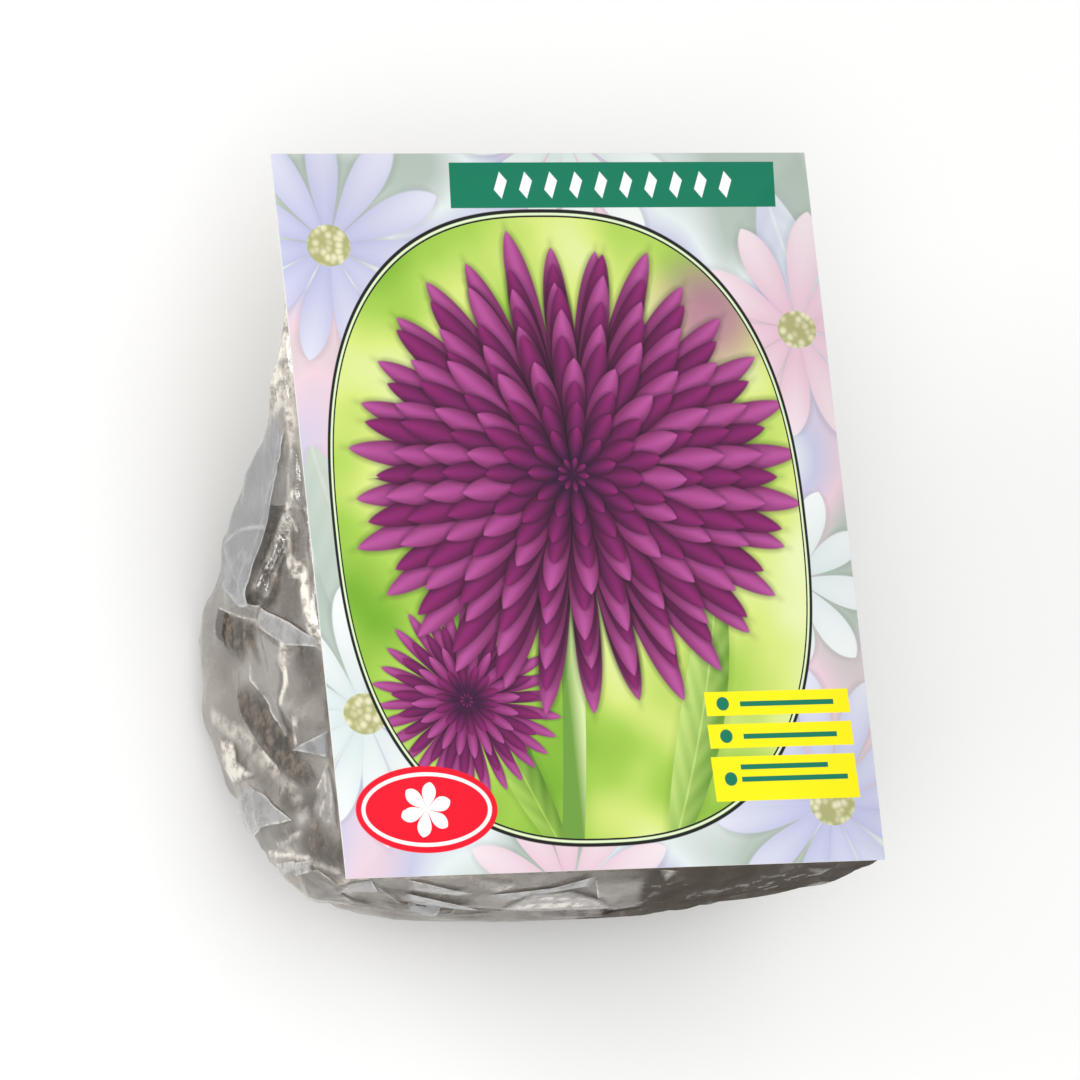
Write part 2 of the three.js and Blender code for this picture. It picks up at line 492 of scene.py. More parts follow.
def displace(
    piece: Piece, texture: bpy.types.Texture, height: float, level: float
) -> None:
    """Adds a Displace modifier.

    Args:
        piece: the object.
        texture: what moves its points.
        height: how far, in metres.
        level: the texture value that stays in place.
    """
    modifier = piece.modifiers.new(texture.name, "DISPLACE")
    modifier.texture = texture
    modifier.texture_coords = "LOCAL"
    modifier.strength = height
    modifier.mid_level = level


def smooth(piece: Piece, angle: Optional[float] = None) -> None:
    """Shades a piece smooth, by angle in degrees if one is given.

    Args:
        piece: the object.
        angle: the sharpest edge that is still smooth, in degrees.
    """
    take(piece)
    if angle is None:
        bpy.ops.object.shade_smooth()
    else:
        bpy.ops.object.shade_smooth_by_angle(angle=math.radians(angle))


def face_outward(piece: Piece) -> None:
    """Turns a closed piece's faces outward.

    Args:
        piece: a mesh object.
    """
    take(piece)
    bpy.ops.object.mode_set(mode="EDIT")
    bpy.ops.mesh.select_all(action="SELECT")
    bpy.ops.mesh.normals_make_consistent(inside=False)
    bpy.ops.object.mode_set(mode="OBJECT")


def enter(piece: Piece, slot: Slot, *nodes: Node) -> None:
    """Tells the frame what a finished piece rides on and stands for.

    Args:
        piece: the object.
        slot: not used.
        *nodes: the solids that it replaces.
    """
    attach(piece, ROOT)
    if nodes:
        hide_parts(*[node.value for node in nodes])
    low, high = [[round(c / MM, 1) for c in corner] for corner in corners(piece)]
    LOG.info("%s: %d faces, from %s to %s mm", piece.name, len(piece.data.polygons), low, high)


def corners(piece: Piece) -> tuple[Array, Array]:
    """The lowest and highest corner of a piece."""
    points = points_of(piece.data)
    return points.min(axis=0), points.max(axis=0)


def new_material(name: str) -> tuple[Material, Graph, bpy.types.Node]:
    """An empty material with one shader.

    Args:
        name: the material's name.

    Returns:
        The material, its graph and its shader.
    """
    material = bpy.data.materials.new(name)
    material.use_nodes = True
    material.node_tree.nodes.clear()
    graph = Graph(material.node_tree)
    shader = graph.node("ShaderNodeBsdfPrincipled")
    output = graph.node("ShaderNodeOutputMaterial")
    graph.tree.links.new(shader.outputs[0], output.inputs[0])
    return material, graph, shader


# ---------- the bag's form ----------
@dataclass
class BagForm:
    """The outer form of the filled bag, in millimetres behind and below the card.

    A station is: the share of the card's height below its top edge; the depth behind the card's
    face at the left edge, at the right edge and in the middle; half the width; how far the right
    side bellies out; the depth of the panel behind the card; and how far the left side bellies out.

    A wall mark is a point of a side wall: the shares of the belly outwards and of the corner
    inwards, and the shares of the wall backwards and of the corner forwards.
    """

    width: float = 170.0
    height: float = 210.0
    depth: float = 79.0
    shift: Pair = (0.08, 4.14)
    back_corner: float = 5.0
    flat_side: float = 10.4
    end_curve: float = 0.8
    back_power: float = 2.6
    least_wall: float = 0.2
    corner_share: float = 0.3
    fine: int = 2000
    back_marks: tuple[float, ...] = (1, 0.72, 0.36, 0, -0.36, -0.72, -1)
    wall_marks: tuple[tuple[float, ...], ...] = (
        (0, 0, 0, 0), (0.7, 0, 0.3, 0), (1, 0, 0.62, 0), (0.8, 0.12, 1, 0.75), (0, 0.45, 1, 0.14),
    )
    stations: tuple[tuple[float, ...], ...] = (
        (6 / 210, 1.6, 1.6, 1.6, 82, 0, 0, 0),
        (14 / 210, 1.6, 1.6, 1.6, 82, 0, 0, 0),
        (0.15, 2.4, 2.4, 15, 83, 0, 0, 0),
        (0.26, 3.5, 3.5, 33, 84, 0, 0, 0.6),
        (0.395, 34, 32, 50, 84, 2, 0, 3.3),
        (0.52, 62, 60, 70, 84, 3.5, 0, 5.8),
        (0.55, 70, 66, 75.5, 84, 4, 0, 8.2),
        (0.6, 78, 76, 84, 84, 5, 0, 8.6),
        (0.7, 77, 75, 85, 84, 6, 0, 8.4),
        (0.81, 70, 68, 82, 84, 6, 0, 6.4),
        (0.88, 59, 59, 77, 84, 5, 0, 6.4),
        (0.94, 49, 51, 72, 84, 3.5, 0, 6.8),
        (1.0, 30, 36, 65, 83, 1, 0.4, 3.6),
        (1.014, 25, 27, 58, 79, 0, 6, 1.0),
        (1.024, 24, 24, 45, 72, 0, 20, 0),
    )

    def at(self, column: int, down: float) -> float:
        """One column of the stations at a share of the card's height."""
        table = np.array(self.stations)
        return float(np.interp(down, table[:, 0], table[:, column]))

    def profile(self, down: float) -> Array:
        """The side and back walls of one section as a fine line of points.

        Args:
            down: the share of the card's height below its top edge.

        Returns:
            Rows of x and of the depth behind the card's face, from the right edge to the left.
        """
        left, right, middle, half, belly, front, left_belly = [
            self.at(k, down) for k in range(1, 8)
        ]

        def back(x: float) -> float:
            """The depth of the back wall across the bag."""
            side = left + (right - left) * (0.5 + 0.5 * x / half)
            return side + (middle - side) * (1 - abs(x / half) ** self.back_power)

        def edge(side: float, bulge: float) -> list[Pair]:
            """The side wall, from the card to the back corner.

            Args:
                side: the depth at its edge.
                bulge: how far it bellies out.

            Returns:
                Its points.
            """
            wall = max(side - front, self.least_wall)
            corner = min(self.corner_share * wall, self.back_corner)
            return [
                (half + belly_share * bulge - inward * corner, front + deep * wall - up * corner)
                for belly_share, inward, deep, up in self.wall_marks
            ]

        flat = half - self.flat_side
        across = [(s * flat, back(s * flat)) for s in self.back_marks]
        mirrored = [(-x, z) for x, z in edge(left, left_belly)[::-1]]
        return self.rounded(np.array(edge(right, belly) + across + mirrored))

    @staticmethod
    def rounded(points: Array, count: int = 1500) -> Array:
        """A smooth line through points.

        Args:
            points: rows of two numbers.
            count: how many points the line gets.

        Returns:
            Rows of two numbers.
        """
        steps = np.linalg.norm(np.diff(points, axis=0), axis=1) ** 0.5
        knots = np.concatenate([[0], np.cumsum(steps)])
        slopes = np.zeros_like(points)
        before = (knots[1:-1] - knots[:-2])[:, None]
        after = (knots[2:] - knots[1:-1])[:, None]
        rise_after = (points[2:] - points[1:-1]) / after * before
        rise_before = (points[1:-1] - points[:-2]) / before * after
        slopes[1:-1] = (rise_after + rise_before) / (before + after)
        slopes[0] = (points[1] - points[0]) / knots[1]
        slopes[-1] = (points[-1] - points[-2]) / (knots[-1] - knots[-2])
        at = np.linspace(0, knots[-1], count)
        i = np.clip(np.searchsorted(knots, at, side="right") - 1, 0, len(knots) - 2)
        span = (knots[i + 1] - knots[i])[:, None]
        s = (at - knots[i])[:, None] / span
        line = (2 * s**3 - 3 * s**2 + 1) * points[i] + (s**3 - 2 * s**2 + s) * span * slopes[i]
        return line + (3 * s**2 - 2 * s**3) * points[i + 1] + (s**3 - s**2) * span * slopes[i + 1]

    def section(self, down: float, walls: int, panel: int) -> Array:
        """One closed section of the bag in the frame's millimetres.

        Args:
            down: the share of the card's height below its top edge.
            walls: how many steps go round the sides and the back.
            panel: how many steps go along the panel behind the card.

        Returns:
            Rows of x, y and z.
        """
        line = self.profile(down)
        run = np.concatenate([[0], np.cumsum(np.linalg.norm(np.diff(line, axis=0), axis=1))])
        at = np.linspace(0, run[-1], walls + 1)
        side = np.stack([np.interp(at, run, line[:, 0]), np.interp(at, run, line[:, 1])], axis=1)
        half, front = self.at(4, down), self.at(6, down)
        across = np.linspace(-half, half, panel + 1)[1:-1]
        points = np.vstack([side, np.stack([across, np.full(panel - 1, front)], axis=1)])
        over = self.height * max(down - 1, 0)
        lift = self.end_curve * over * np.minimum(abs(points[:, 0] / half), 1) ** 3
        y = self.height * (0.5 - down) + lift
        return np.column_stack(
            [points[:, 0] + self.shift[0], y + self.shift[1], self.depth - points[:, 1]]
        )

    def steps(self, count: int) -> Array:
        """Shares of the card's height that are evenly spaced along the bag's back.

        Args:
            count: how many there are.

        Returns:
            The shares.
        """
        table = np.array(self.stations)
        down = np.linspace(table[0, 0], table[-1, 0], self.fine)
        back = self.depth - np.interp(down, table[:, 0], table[:, 3])
        run = np.cumsum(np.hypot(np.diff(back), np.diff(self.height * down)))
        run = np.concatenate([[0], run])
        return np.interp(np.linspace(0, run[-1], count), run, down)


# ---------- packing ----------
@dataclass(frozen=True)
class PackingFinish:
    """Dark, dry fibre and peat."""

    dark: str = "2b2621"
    mid: str = "655b50"
    pale: str = "a89b89"
    peat: str = "27221d"
    crumb: str = "75695c"
    rough: float = 0.9

    def material(self) -> Material:
        """The packing's material.

        Returns:
            The material.
        """
        material, graph, shader = new_material("packing_fibre")
        at = graph.place()
        broad = graph.noise(at, 0.045, 4, 0.6)
        fine = graph.noise(at, 0.5, 4, 0.65)
        crumb = graph.cells(at, 0.42)
        tone = (broad * 0.7 + fine * 0.55 - crumb * 0.2).rise(0.28, 0.85)
        stops = [(0.0, srgb(self.dark)), (0.55, srgb(self.mid)), (1.0, srgb(self.pale))]
        flecks = graph.noise(at, 0.24, 5, 0.75).rise(0.4, 0.64)
        peat = graph.mix(flecks, srgb(self.peat), srgb(self.crumb))
        colour = graph.mix(graph.attribute("peat"), graph.ramp(tone, stops), peat)
        relief = graph.bump(fine + crumb * 0.5, 0.6, 0.0012)
        graph.feed(shader, {"Base Color": colour, "Roughness": self.rough, "Normal": relief})
        return material


class Side(Enum):
    """The two stretches of film that show beside the card."""

    WALL = "places by the distance down and the distance round"
    END = "places by x and z"


@dataclass(frozen=True)
class Clod:
    """A dark clod of peat pressed against the film: its two ends, its width and its side."""

    start: Pair
    end: Pair
    width: float
    side: Side = Side.WALL


CLODS: tuple[Clod, ...] = (
    Clod((128, 48), (132, 37), 15.0), Clod((151, 42), (175, 16), 13.5),
    Clod((150, 110), (170, 150), 14.0), Clod((120, 180), (150, 170), 15.0),
    Clod((175, 210), (160, 240), 14.0), Clod((140, 286), (170, 296), 14.0),
    Clod((185, 120), (195, 165), 15.0), Clod((122, 300), (132, 312), 12.0),
    Clod((-67, 66), (-50, 46), 12.0, Side.END), Clod((-36, 42), (-27, 42), 8.0, Side.END),
)


DARK_LEFT, DARK_FADE = -13.0, 24.0
DARK_TOP, DARK_RISE = -86.0, 8.0


def dark_end(points: Array) -> Array:
    """How far each point, in millimetres, is within the dark right half of the lower end."""
    rightward = np.clip((points[:, 0] - DARK_LEFT) / DARK_FADE, 0, 1)
    return rightward * np.clip((DARK_TOP - points[:, 1]) / DARK_RISE, 0, 1)


@dataclass
class LoosePacking:
    """The lumpy filling, and the pocket in it for the bulb. Sizes are in millimetres."""

    cell: float = 1.6
    lump: float = 13.0
    lump_height: float = 5.0
    crumb: float = 4.5
    crumb_height: float = 1.4
    lump_level: float = 0.55
    crumb_level: float = 0.5
    flat_top: float = 0.5
    sunk: float = 0.3
    overhang: float = 0.35
    squareness: float = 0.8
    heights: Pair = (1.2, 76.5)
    finish: PackingFinish = PackingFinish()

    def build(self, net: "Net") -> Piece:
        """The filling, made from its plain solid by remeshing and raising lumps on it.

        Args:
            net: the crumpled film before it rests on anything.

        Returns:
            The finished object.
        """
        source = bpy.data.objects[Node.PACKING.value]
        piece = take(link("packing_fibre", source.data.copy()))
        bpy.ops.object.mode_set(mode="EDIT")
        bpy.ops.mesh.select_all(action="SELECT")
        bpy.ops.mesh.remove_doubles(threshold=1e-6)
        bpy.ops.object.mode_set(mode="OBJECT")
        voxels = piece.modifiers.new("cells", "REMESH")
        voxels.mode = "VOXEL"
        voxels.voxel_size = self.cell * MM
        pebbles = lumps("pebbles", self.lump * MM)
        displace(piece, pebbles, -self.lump_height * MM, self.lump_level)
        crumbs = lumps("crumbs", self.crumb * MM)
        displace(piece, crumbs, -self.crumb_height * MM, self.crumb_level)
        settle(piece)
        point_value(piece.data, "peat", np.zeros(len(piece.data.vertices)))
        clods = [self.clod(clod, net) for clod in CLODS]
        take(piece)
        for clod in clods:
            clod.select_set(True)
        bpy.ops.object.join()
        self.keep_inside(piece)
        layer = piece.data.attributes["peat"].data
        peat = np.empty(len(layer))
        layer.foreach_get("value", peat)
        # The packing is peat-dark at the right of the lower end.
        layer.foreach_set("value", np.maximum(peat, dark_end(points_of(piece.data) / MM)))
        piece.data.materials.clear()
        piece.data.materials.append(self.finish.material())
        smooth(piece)
        enter(piece, Slot.PACKING, Node.PACKING)
        return piece

    def clod(self, clod: Clod, net: "Net") -> Piece:
        """One lump of peat, a rough ball stretched between two places under the film.

        Args:
            clod: the lump.
            net: the crumpled film before it rests on anything.

        Returns:
            Its object.
        """
        places = np.array([clod.start, clod.end], dtype=float)
        sunk = np.full(2, -self.flat_top * clod.width / 2 - self.sunk)
        skin = net.at(places, np.zeros(2), clod.side)
        ends = net.at(places, sunk, clod.side)
        run = Vector(ends[1] - ends[0])
        out = Vector((skin - ends).mean(axis=0)).normalized()
        aside = run.cross(out).normalized()
        out = aside.cross(run).normalized()
        clear_selection()
        bpy.ops.mesh.primitive_ico_sphere_add(subdivisions=4, radius=1)
        piece = bpy.context.object
        ball = points_of(piece.data)
        rough = 1 + 0.16 * noise_at(ball, 1.6, clod.width)
        rough = rough + 0.09 * noise_at(ball, 4.5, clod.start[0])
        ball = np.sign(ball) * np.abs(ball) ** self.squareness * rough[:, None]
        crumbs = self.flat_top * (1 + 0.06 * noise_at(ball, 5.0, 3.0))
        ball[:, 2] = np.minimum(ball[:, 2], crumbs)
        radius = clod.width / 2
        half = np.array([run.length / 2 + self.overhang * clod.width, radius, radius])
        axes = np.array([run.normalized(), aside, out])
        set_points(piece.data, ((ball * half) @ axes + ends.mean(axis=0)) * MM)
        face_outward(piece)
        point_value(piece.data, "peat", np.ones(len(ball)))
        return piece

    def keep_inside(self, piece: Piece) -> None:
        """Holds the filling off the floor and off the card.

        Args:
            piece: the filling.
        """
        points = points_of(piece.data)
        points[:, 2] = np.clip(points[:, 2], *(height * MM for height in self.heights))
        set_points(piece.data, points)


# ---------- bulb ----------
@dataclass(frozen=True)
class TunicFinish:
    """The dry papery skin of a bulb, streaked from its base to its neck."""

    base: str = "8a6a45"
    warm: str = "b58e5f"
    pale: str = "dcc7a2"
    rough: float = 0.62

    def material(self) -> Material:
        """The skin's material, which reads the mesh's around and along values.

        Returns:
            The material.
        """
        material, graph, shader = new_material("bulb_tunic")
        around, along = graph.attribute("around"), graph.attribute("along")
        streak = graph.noise(graph.vector(around * 60, along * 1.6, 0.0), 1.0, 4, 0.6)
        patch = graph.noise(graph.place(), 0.05, 3, 0.5)
        tone = (streak * 0.75 + patch * 0.5 - 0.1).clamped()
        stops = [(0.2, srgb(self.base)), (0.55, srgb(self.warm)), (0.9, srgb(self.pale))]
        colour, relief = graph.ramp(tone, stops), graph.bump(streak, 0.5, 0.0008)
        graph.feed(shader, {"Base Color": colour, "Roughness": self.rough, "Normal": relief})
        return material


@dataclass
class FlowerBulb:
    """One large bulb with a dry neck, lying in the packing. Sizes are in millimetres."""

    radius: float = 37.6
    body: float = 60.0
    neck: float = 15.0
    neck_radius: float = 6.2
    neck_rings: int = 9
    skin: float = 0.8
    root_plate: tuple[Pair, ...] = (
        (0.0, 8.0), (-1.2, 10.5), (0.6, 15.0), (4.0, 23.0),
    )
    yaw: float = 9.0
    turns: int = 96
    ribs: int = 26
    broad_ribs: int = 11
    rib_height: float = 0.45
    finish: TunicFinish = TunicFinish()

    def build(self) -> Piece:
        """The bulb, extruded ring by ring from a disc and laid in its pocket.

        Returns:
            The finished object.
        """
        low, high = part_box(Node.BULB.value)
        centre = (Vector(low) + Vector(high)) / 2
        clear_selection()
        bpy.ops.mesh.primitive_circle_add(vertices=self.turns, radius=MM, fill_type="NGON")
        piece = bpy.context.object
        piece.name = piece.data.name = "bulb_skin"
        bpy.ops.object.mode_set(mode="EDIT")
        bpy.ops.mesh.select_all(action="SELECT")
        reach, height = 1.0, 0.0
        for ring_height, ring_reach in self.profile():
            bpy.ops.mesh.extrude_region_move(
                TRANSFORM_OT_translate={"value": (0, 0, (ring_height - height) * MM)}
            )
            share = ring_reach / reach
            bpy.ops.transform.resize(
                value=(share, share, 1), center_override=(0, 0, ring_height * MM)
            )
            reach, height = ring_reach, ring_height
        face_outward(piece)
        self.wrinkle(piece.data, height)
        lean = math.radians(self.yaw)
        points = points_of(piece.data)
        middle = (points.min(axis=0) + points.max(axis=0)) / 2
        along = points[:, 2] - middle[2]
        across = points[:, 0]
        turned = np.column_stack([
            across * math.cos(lean) - along * math.sin(lean),
            across * math.sin(lean) + along * math.cos(lean),
            -points[:, 1],
        ])
        turned -= (turned.min(axis=0) + turned.max(axis=0)) / 2
        set_points(piece.data, turned + np.array(centre))
        piece.data.materials.append(self.finish.material())
        smooth(piece)
        enter(piece, Slot.BULB, Node.BULB)
        return piece

    def profile(self) -> list[Pair]:
        """Heights and radii from the root plate to the tip of the neck.

        Returns:
            Pairs of a height and a radius.
        """
        r, body, top = self.radius - self.skin, self.body, self.body + self.neck
        rings = list(self.root_plate)
        rings += [
            (body * (0.5 - 0.5 * math.cos(t)), r * math.sin(t) ** 0.72)
            for t in np.linspace(0.62, 2.45, 22)
        ]
        shoulder, wide = rings[-1]
        thin, count = self.neck_radius, self.neck_rings
        for share in np.linspace(0.15, 1.0, count):
            reach = thin + (wide - thin) * (1 - share) ** 2.1
            rings.append((rings[-1][0] + (top - shoulder) / count, reach))
        return rings + [(top + 0.6, 3.2), (top + 0.2, 1.0)]

    def wrinkle(self, mesh: Mesh, top: float) -> None:
        """Raises ribs along the skin and stores where each point lies on it.

        Args:
            mesh: the bulb upright, in metres.
            top: its height in millimetres.
        """
        points = points_of(mesh)
        turn = np.arctan2(points[:, 1], points[:, 0])
        reach = np.hypot(points[:, 0], points[:, 1])
        share = points[:, 2] / (top * MM)
        wander = noise_at(points, 45.0) * 1.4
        rib = np.cos(self.ribs * turn + wander) + 0.6 * np.cos(self.broad_ribs * turn - 2 * wander)
        grow = 1 + rib * self.rib_height * MM / np.maximum(reach, 6 * MM)
        points[:, 0] *= grow
        points[:, 1] *= grow
        set_points(mesh, points)
        point_value(mesh, "around", turn / math.tau + 0.5)
        point_value(mesh, "along", share)


# ---------- clear film ----------
@dataclass(frozen=True)
class FilmFinish:
    """Thin polythene: clear where it clings to what is behind it, hazy and milky elsewhere; its milk
    carries painted glare, its folds a painted cool reflection.
    """

    haze: str = "928a81"
    milk_and_glare: str = "e9e1d4"
    veil_and_cool_reflection: str = "9097a0"
    end_darkening: str = "514b45"
    veil: float = 0.5
    rim: float = 0.4
    whitening_and_glare: float = 0.55
    rough: float = 0.12
    index: float = 2.2
    cling: float = 0.88
    end_darkening_veil: float = 0.75
    fold_veil: float = 0.16
    least_veil: float = 0.08
    # How far folds take the cool grey of a painted reflection.
    fold_cool_reflection: float = 0.7

    def material(self) -> Material:
        """The film's material, which reads the values that the mesh carries.

        Returns:
            The material.
        """
        material, graph, shader = new_material("clear_film")
        facing = graph.node("ShaderNodeLayerWeight")
        facing.inputs["Blend"].default_value = 0.35
        edge = Wire(graph, facing.outputs["Facing"])
        whitening_and_glare, fold = graph.attribute("whitening_and_glare"), graph.attribute("fold")
        at = graph.place()
        cloud = graph.noise(at, 0.05, 3, 0.55)
        fine = graph.noise(at, 0.3, 4, 0.6)
        bent = graph.cells(at + graph.noise(at, 0.05, 1, 0.5) * 14.0, 0.11)
        # Milky whitening with painted glare and painted light: these values lighten the film towards
        # the milk colour and thicken it.
        milk_and_glare_share = whitening_and_glare * graph.noise(at, 0.28, 4, 0.65).rise(0.32, 0.58).scaled(0.95, 0.1)
        white = (milk_and_glare_share + (cloud - 0.5) * 0.4).clamped()
        away = 1.0 - graph.attribute("touch") * self.cling
        alpha = (cloud * 0.7 + (self.veil - 0.35)) * away + milk_and_glare_share * self.whitening_and_glare
        alpha = alpha + edge ** 2 * self.rim * away + fold * self.fold_veil + self.least_veil
        # Darker, more opaque and less glossy at the right of the lower end.
        end_darkening = graph.attribute("end_darkening") * graph.noise(at, 0.12, 4, 0.6).scaled(0.7, 0.56, clamp=True)
        alpha = (alpha + end_darkening * self.end_darkening_veil) * graph.attribute("present")
        tone = graph.mix(end_darkening, graph.mix(white, srgb(self.haze), srgb(self.milk_and_glare)), srgb(self.end_darkening))
        graph.feed(shader, {
            "Alpha": alpha.clamped(),
            "Specular IOR Level": (end_darkening * -0.6 + 0.5).clamped(),
            # Folds take a cool grey tint, a painted cool reflection.
            "Base Color": graph.mix(fold * self.fold_cool_reflection, tone, srgb(self.veil_and_cool_reflection)),
            "Roughness": self.rough,
            "IOR": self.index,
            "Normal": graph.bump(fine * 0.3 + bent, 0.5, 0.0014),
        })
        return material


@dataclass(frozen=True)
class Relief:
    """Flat facets between raised and sunk points of the unrolled film, in millimetres.

    A point is: the distance below the card's top, the distance round the bag from the card's left
    edge, and the height above the bag's form.
    """

    marks: tuple[Triple, ...] = (
        (77, 13, 0.6), (77, 1, 0.4), (99, 4, 1), (107, 14, 1.4), (121, 27, 2.0), (122, 30, 2.2),
        (112, 37, 1.6), (100, 34, 0.6), (101, 25, 0.2), (89, 20, 0.5), (99, 3, -0.8), (109, 13, -1.4),
        (123, 25, -1.6), (126, 31, -1.8), (116, 38, -0.6), (122, 42, 0.8), (130, 25, 2.1),
        (138, 7, 1.9), (141, 1, 0.8), (134, 32, -0.9), (140, 13, -1.3),
        (137, 34, 1.3), (146, 34, 1.6), (172, 11, 2), (139, 14, 1.5), (159, 18, 1.6), (149, 27, -1),
        (160, 28, -1), (150, 10, -1.3), (165, 6, -0.5), (171, 2, 0.2), (177, 1, 1.2), (146, 50, -1.5),
        (160, 44, -2), (171, 30, -2.2), (184, 9, -1.5), (157, 57, 0.9), (174, 42, 1.9), (171, 56, 0.7),
        (152, 60, 0.6), (191, 20, 2.1), (178, 48, 1.4), (185, 37, 2.8), (191, 44, 0), (193, 42, -1.3),
        (199, 27, -1.6), (205, 6, 1), (210, 18, 2.3), (209, 3, 0.6), (122, 41, 0), (130, 60, 0),
        (151, 56, 0), (177, 46, 0), (202, 32, 0), (214, 21, -1), (215, 26, 1),
    )
    field: Pair = (232.0, 345.0)
    wide_step: float = 14.0
    wide_height: float = 2.0
    fine_step: float = 6.0
    fine_height: float = 0.55
    clear_of_marks: float = 8.0
    stray: float = 0.42
    wide_seed: int = 3
    fine_seed: int = 8

    def heights(self, down: Array, round_: Array) -> Array:
        """The height of the relief at each place.

        Args:
            down: distances below the card's top.
            round_: distances round the bag from the card's left edge.

        Returns:
            Heights in millimetres.
        """
        places = np.column_stack([down, round_])
        wide = self.scatter(self.wide_step, self.wide_height, self.wide_seed)
        marks = np.array(self.marks)
        gap = np.linalg.norm(wide[:, None, :2] - marks[None, :, :2], axis=2).min(axis=1)
        wide = np.vstack([wide[gap > self.clear_of_marks], marks])
        fine = self.scatter(self.fine_step, self.fine_height, self.fine_seed)
        return self.facets(wide, places) + self.facets(fine, places)

    def scatter(self, step: float, height: float, seed: int) -> Array:
        """Random points over the whole film, one for each cell of a loose grid.

        Args:
            step: a cell's side.
            height: the greatest height or depth.
            seed: the seed of the random draws.

        Returns:
            Rows of two places and a height.
        """
        rng = np.random.default_rng(seed)
        down, round_ = np.meshgrid(
            np.arange(-step, self.field[0] + 2 * step, step),
            np.arange(-step, self.field[1] + 2 * step, step), indexing="ij",
        )
        count = down.size
        moved = rng.uniform(-self.stray, self.stray, (count, 2)) * step
        places = np.column_stack([down.ravel(), round_.ravel()]) + moved
        return np.column_stack([places, rng.uniform(-height, height, count)])

    @staticmethod
    def facets(points: Array, places: Array) -> Array:
        """Heights on the triangles between points.

        Args:
            points: rows of two places and a height.
            places: where the heights are wanted.

        Returns:
            One height for each place.
        """
        flat = [Vector(p[:2]) for p in points]
        made = geometry.delaunay_2d_cdt(flat, [], [], 0, MERGE)
        corners_, triangles, origin = made[0], made[2], made[3]
        height = np.array([points[ids[0], 2] if ids else 0.0 for ids in origin])
        result = np.zeros(len(places))
        for ids in triangles:
            a, b, c = (np.array(corners_[i]) for i in ids)
            low, high = np.min([a, b, c], axis=0), np.max([a, b, c], axis=0)
            near = np.flatnonzero(np.all((places >= low) & (places <= high), axis=1))
            if not len(near):
                continue
            turn = np.array([b - a, c - a]).T
            if abs(np.linalg.det(turn)) < 1e-9:
                continue
            share = np.linalg.solve(turn, (places[near] - a).T)
            rest = 1 - share.sum(axis=0)
            inside = (share.min(axis=0) >= -HAIR) & (rest >= -HAIR)
            value = rest * height[ids[0]] + share[0] * height[ids[1]] + share[1] * height[ids[2]]
            result[near[inside]] = value[inside]
        return result


@dataclass(frozen=True)
class Line:
    """A creased line on the film: its points, how white it is, with painted glare, and half its width.
    """

    points: tuple[Pair, ...]
    white: float = 0.9
    reach: float = 0.9

    def away(self, places: Array) -> Array:
        """How far each place is from the line.

        Args:
            places: pairs of places.

        Returns:
            One distance for each place.
        """
        nearest = np.full(len(places), FAR)
        for start, end in zip(self.points, self.points[1:]):
            a, run = np.array(start), np.subtract(end, start)
            share = np.clip((places - a) @ run / (run @ run), 0, 1)
            nearest = np.minimum(nearest, np.linalg.norm(places - a - share[:, None] * run, axis=1))
        return nearest

    def mask(self, places: Array) -> Array:
        """The line's whiteness, with painted glare, at each place."""
        return self.white * np.clip(1.6 - self.away(places) / self.reach, 0, 1)


@dataclass(frozen=True)
class Pleat:
    """A flat fold of film on the bag's left wall or its lower end.

    A corner is: its place on that side, and the height above the film below, in millimetres. Its
    cool share says how much extra veil and painted cool reflection it has, its milk share how much
    milky whitening and painted glare, clear how much shows through it, and free lists the sides, by
    their first corner, that have a light edge of milky whitening and painted highlight.
    """

    corners: tuple[Triple, ...]
    veil_and_cool_reflection: float
    milk_and_glare: float = 0.0
    free: tuple[int, ...] = ()
    lines: tuple[Line, ...] = ()
    side: Side = Side.WALL
    clear: float = 0.35
    soft: float = 1.6
    step: float = 0.8

    def net(self) -> tuple[Array, list[tuple[int, ...]]]:
        """The fold's points on the unrolled film, and its faces.

        Returns:
            Rows of two places, and the points of each face.
        """
        ring = np.array(self.corners)
        sides = []
        for start, end in zip(ring, np.roll(ring, -1, axis=0)):
            count = max(int(np.linalg.norm(end[:2] - start[:2]) / self.step), 1)
            sides += [start + (end - start) * k / count for k in range(count)]
        edge = np.array(sides)
        low, high = edge[:, :2].min(axis=0), edge[:, :2].max(axis=0)
        across, round_ = np.meshgrid(
            np.arange(low[0], high[0], self.step), np.arange(low[1], high[1], self.step)
        )
        inner = np.column_stack([across.ravel(), round_.ravel()])
        far = np.linalg.norm(inner[:, None] - edge[None, :, :2], axis=2).min(axis=1)
        inner = inner[far > 0.6 * self.step]
        flat = [Vector(p) for p in np.vstack([edge[:, :2], inner])]
        made = geometry.delaunay_2d_cdt(flat, [], [list(range(len(edge)))], 1, MERGE)
        places = np.array([p[:] for p in made[0]])
        return places, [tuple(face) for face in made[2]]

    def presence(self, places: Array) -> Array:
        """1 inside the fold and along its free sides, falling to 0 at the sides it grows from.

        Args:
            places: pairs of places.

        Returns:
            One value for each place.
        """
        ring = np.array(self.corners)[:, :2]
        fixed = [k for k in range(len(ring)) if k not in self.free]
        ends = [(tuple(ring[k]), tuple(ring[(k + 1) % len(ring)])) for k in fixed]
        if not ends:
            return np.ones(len(places))
        away = np.min([Line(pair).away(places) for pair in ends], axis=0)
        return np.clip(away / self.soft, 0, 1)

    def milk_and_glare_at(self, places: Array) -> Array:
        """How much milky whitening and painted glare the fold has at each place: all over, along its
        free sides and its lines.

        Args:
            places: pairs of places.

        Returns:
            One value for each place.
        """
        ring = np.array(self.corners)[:, :2]
        white = np.full(len(places), self.milk_and_glare)
        # Free sides get a light edge of milky whitening and painted highlight.
        for side in self.free:
            line = Line((tuple(ring[side]), tuple(ring[(side + 1) % len(ring)])), 0.75, 0.4)
            white = np.maximum(white, line.mask(places))
        for line in self.lines:
            white = np.maximum(white, line.mask(places))
        return white
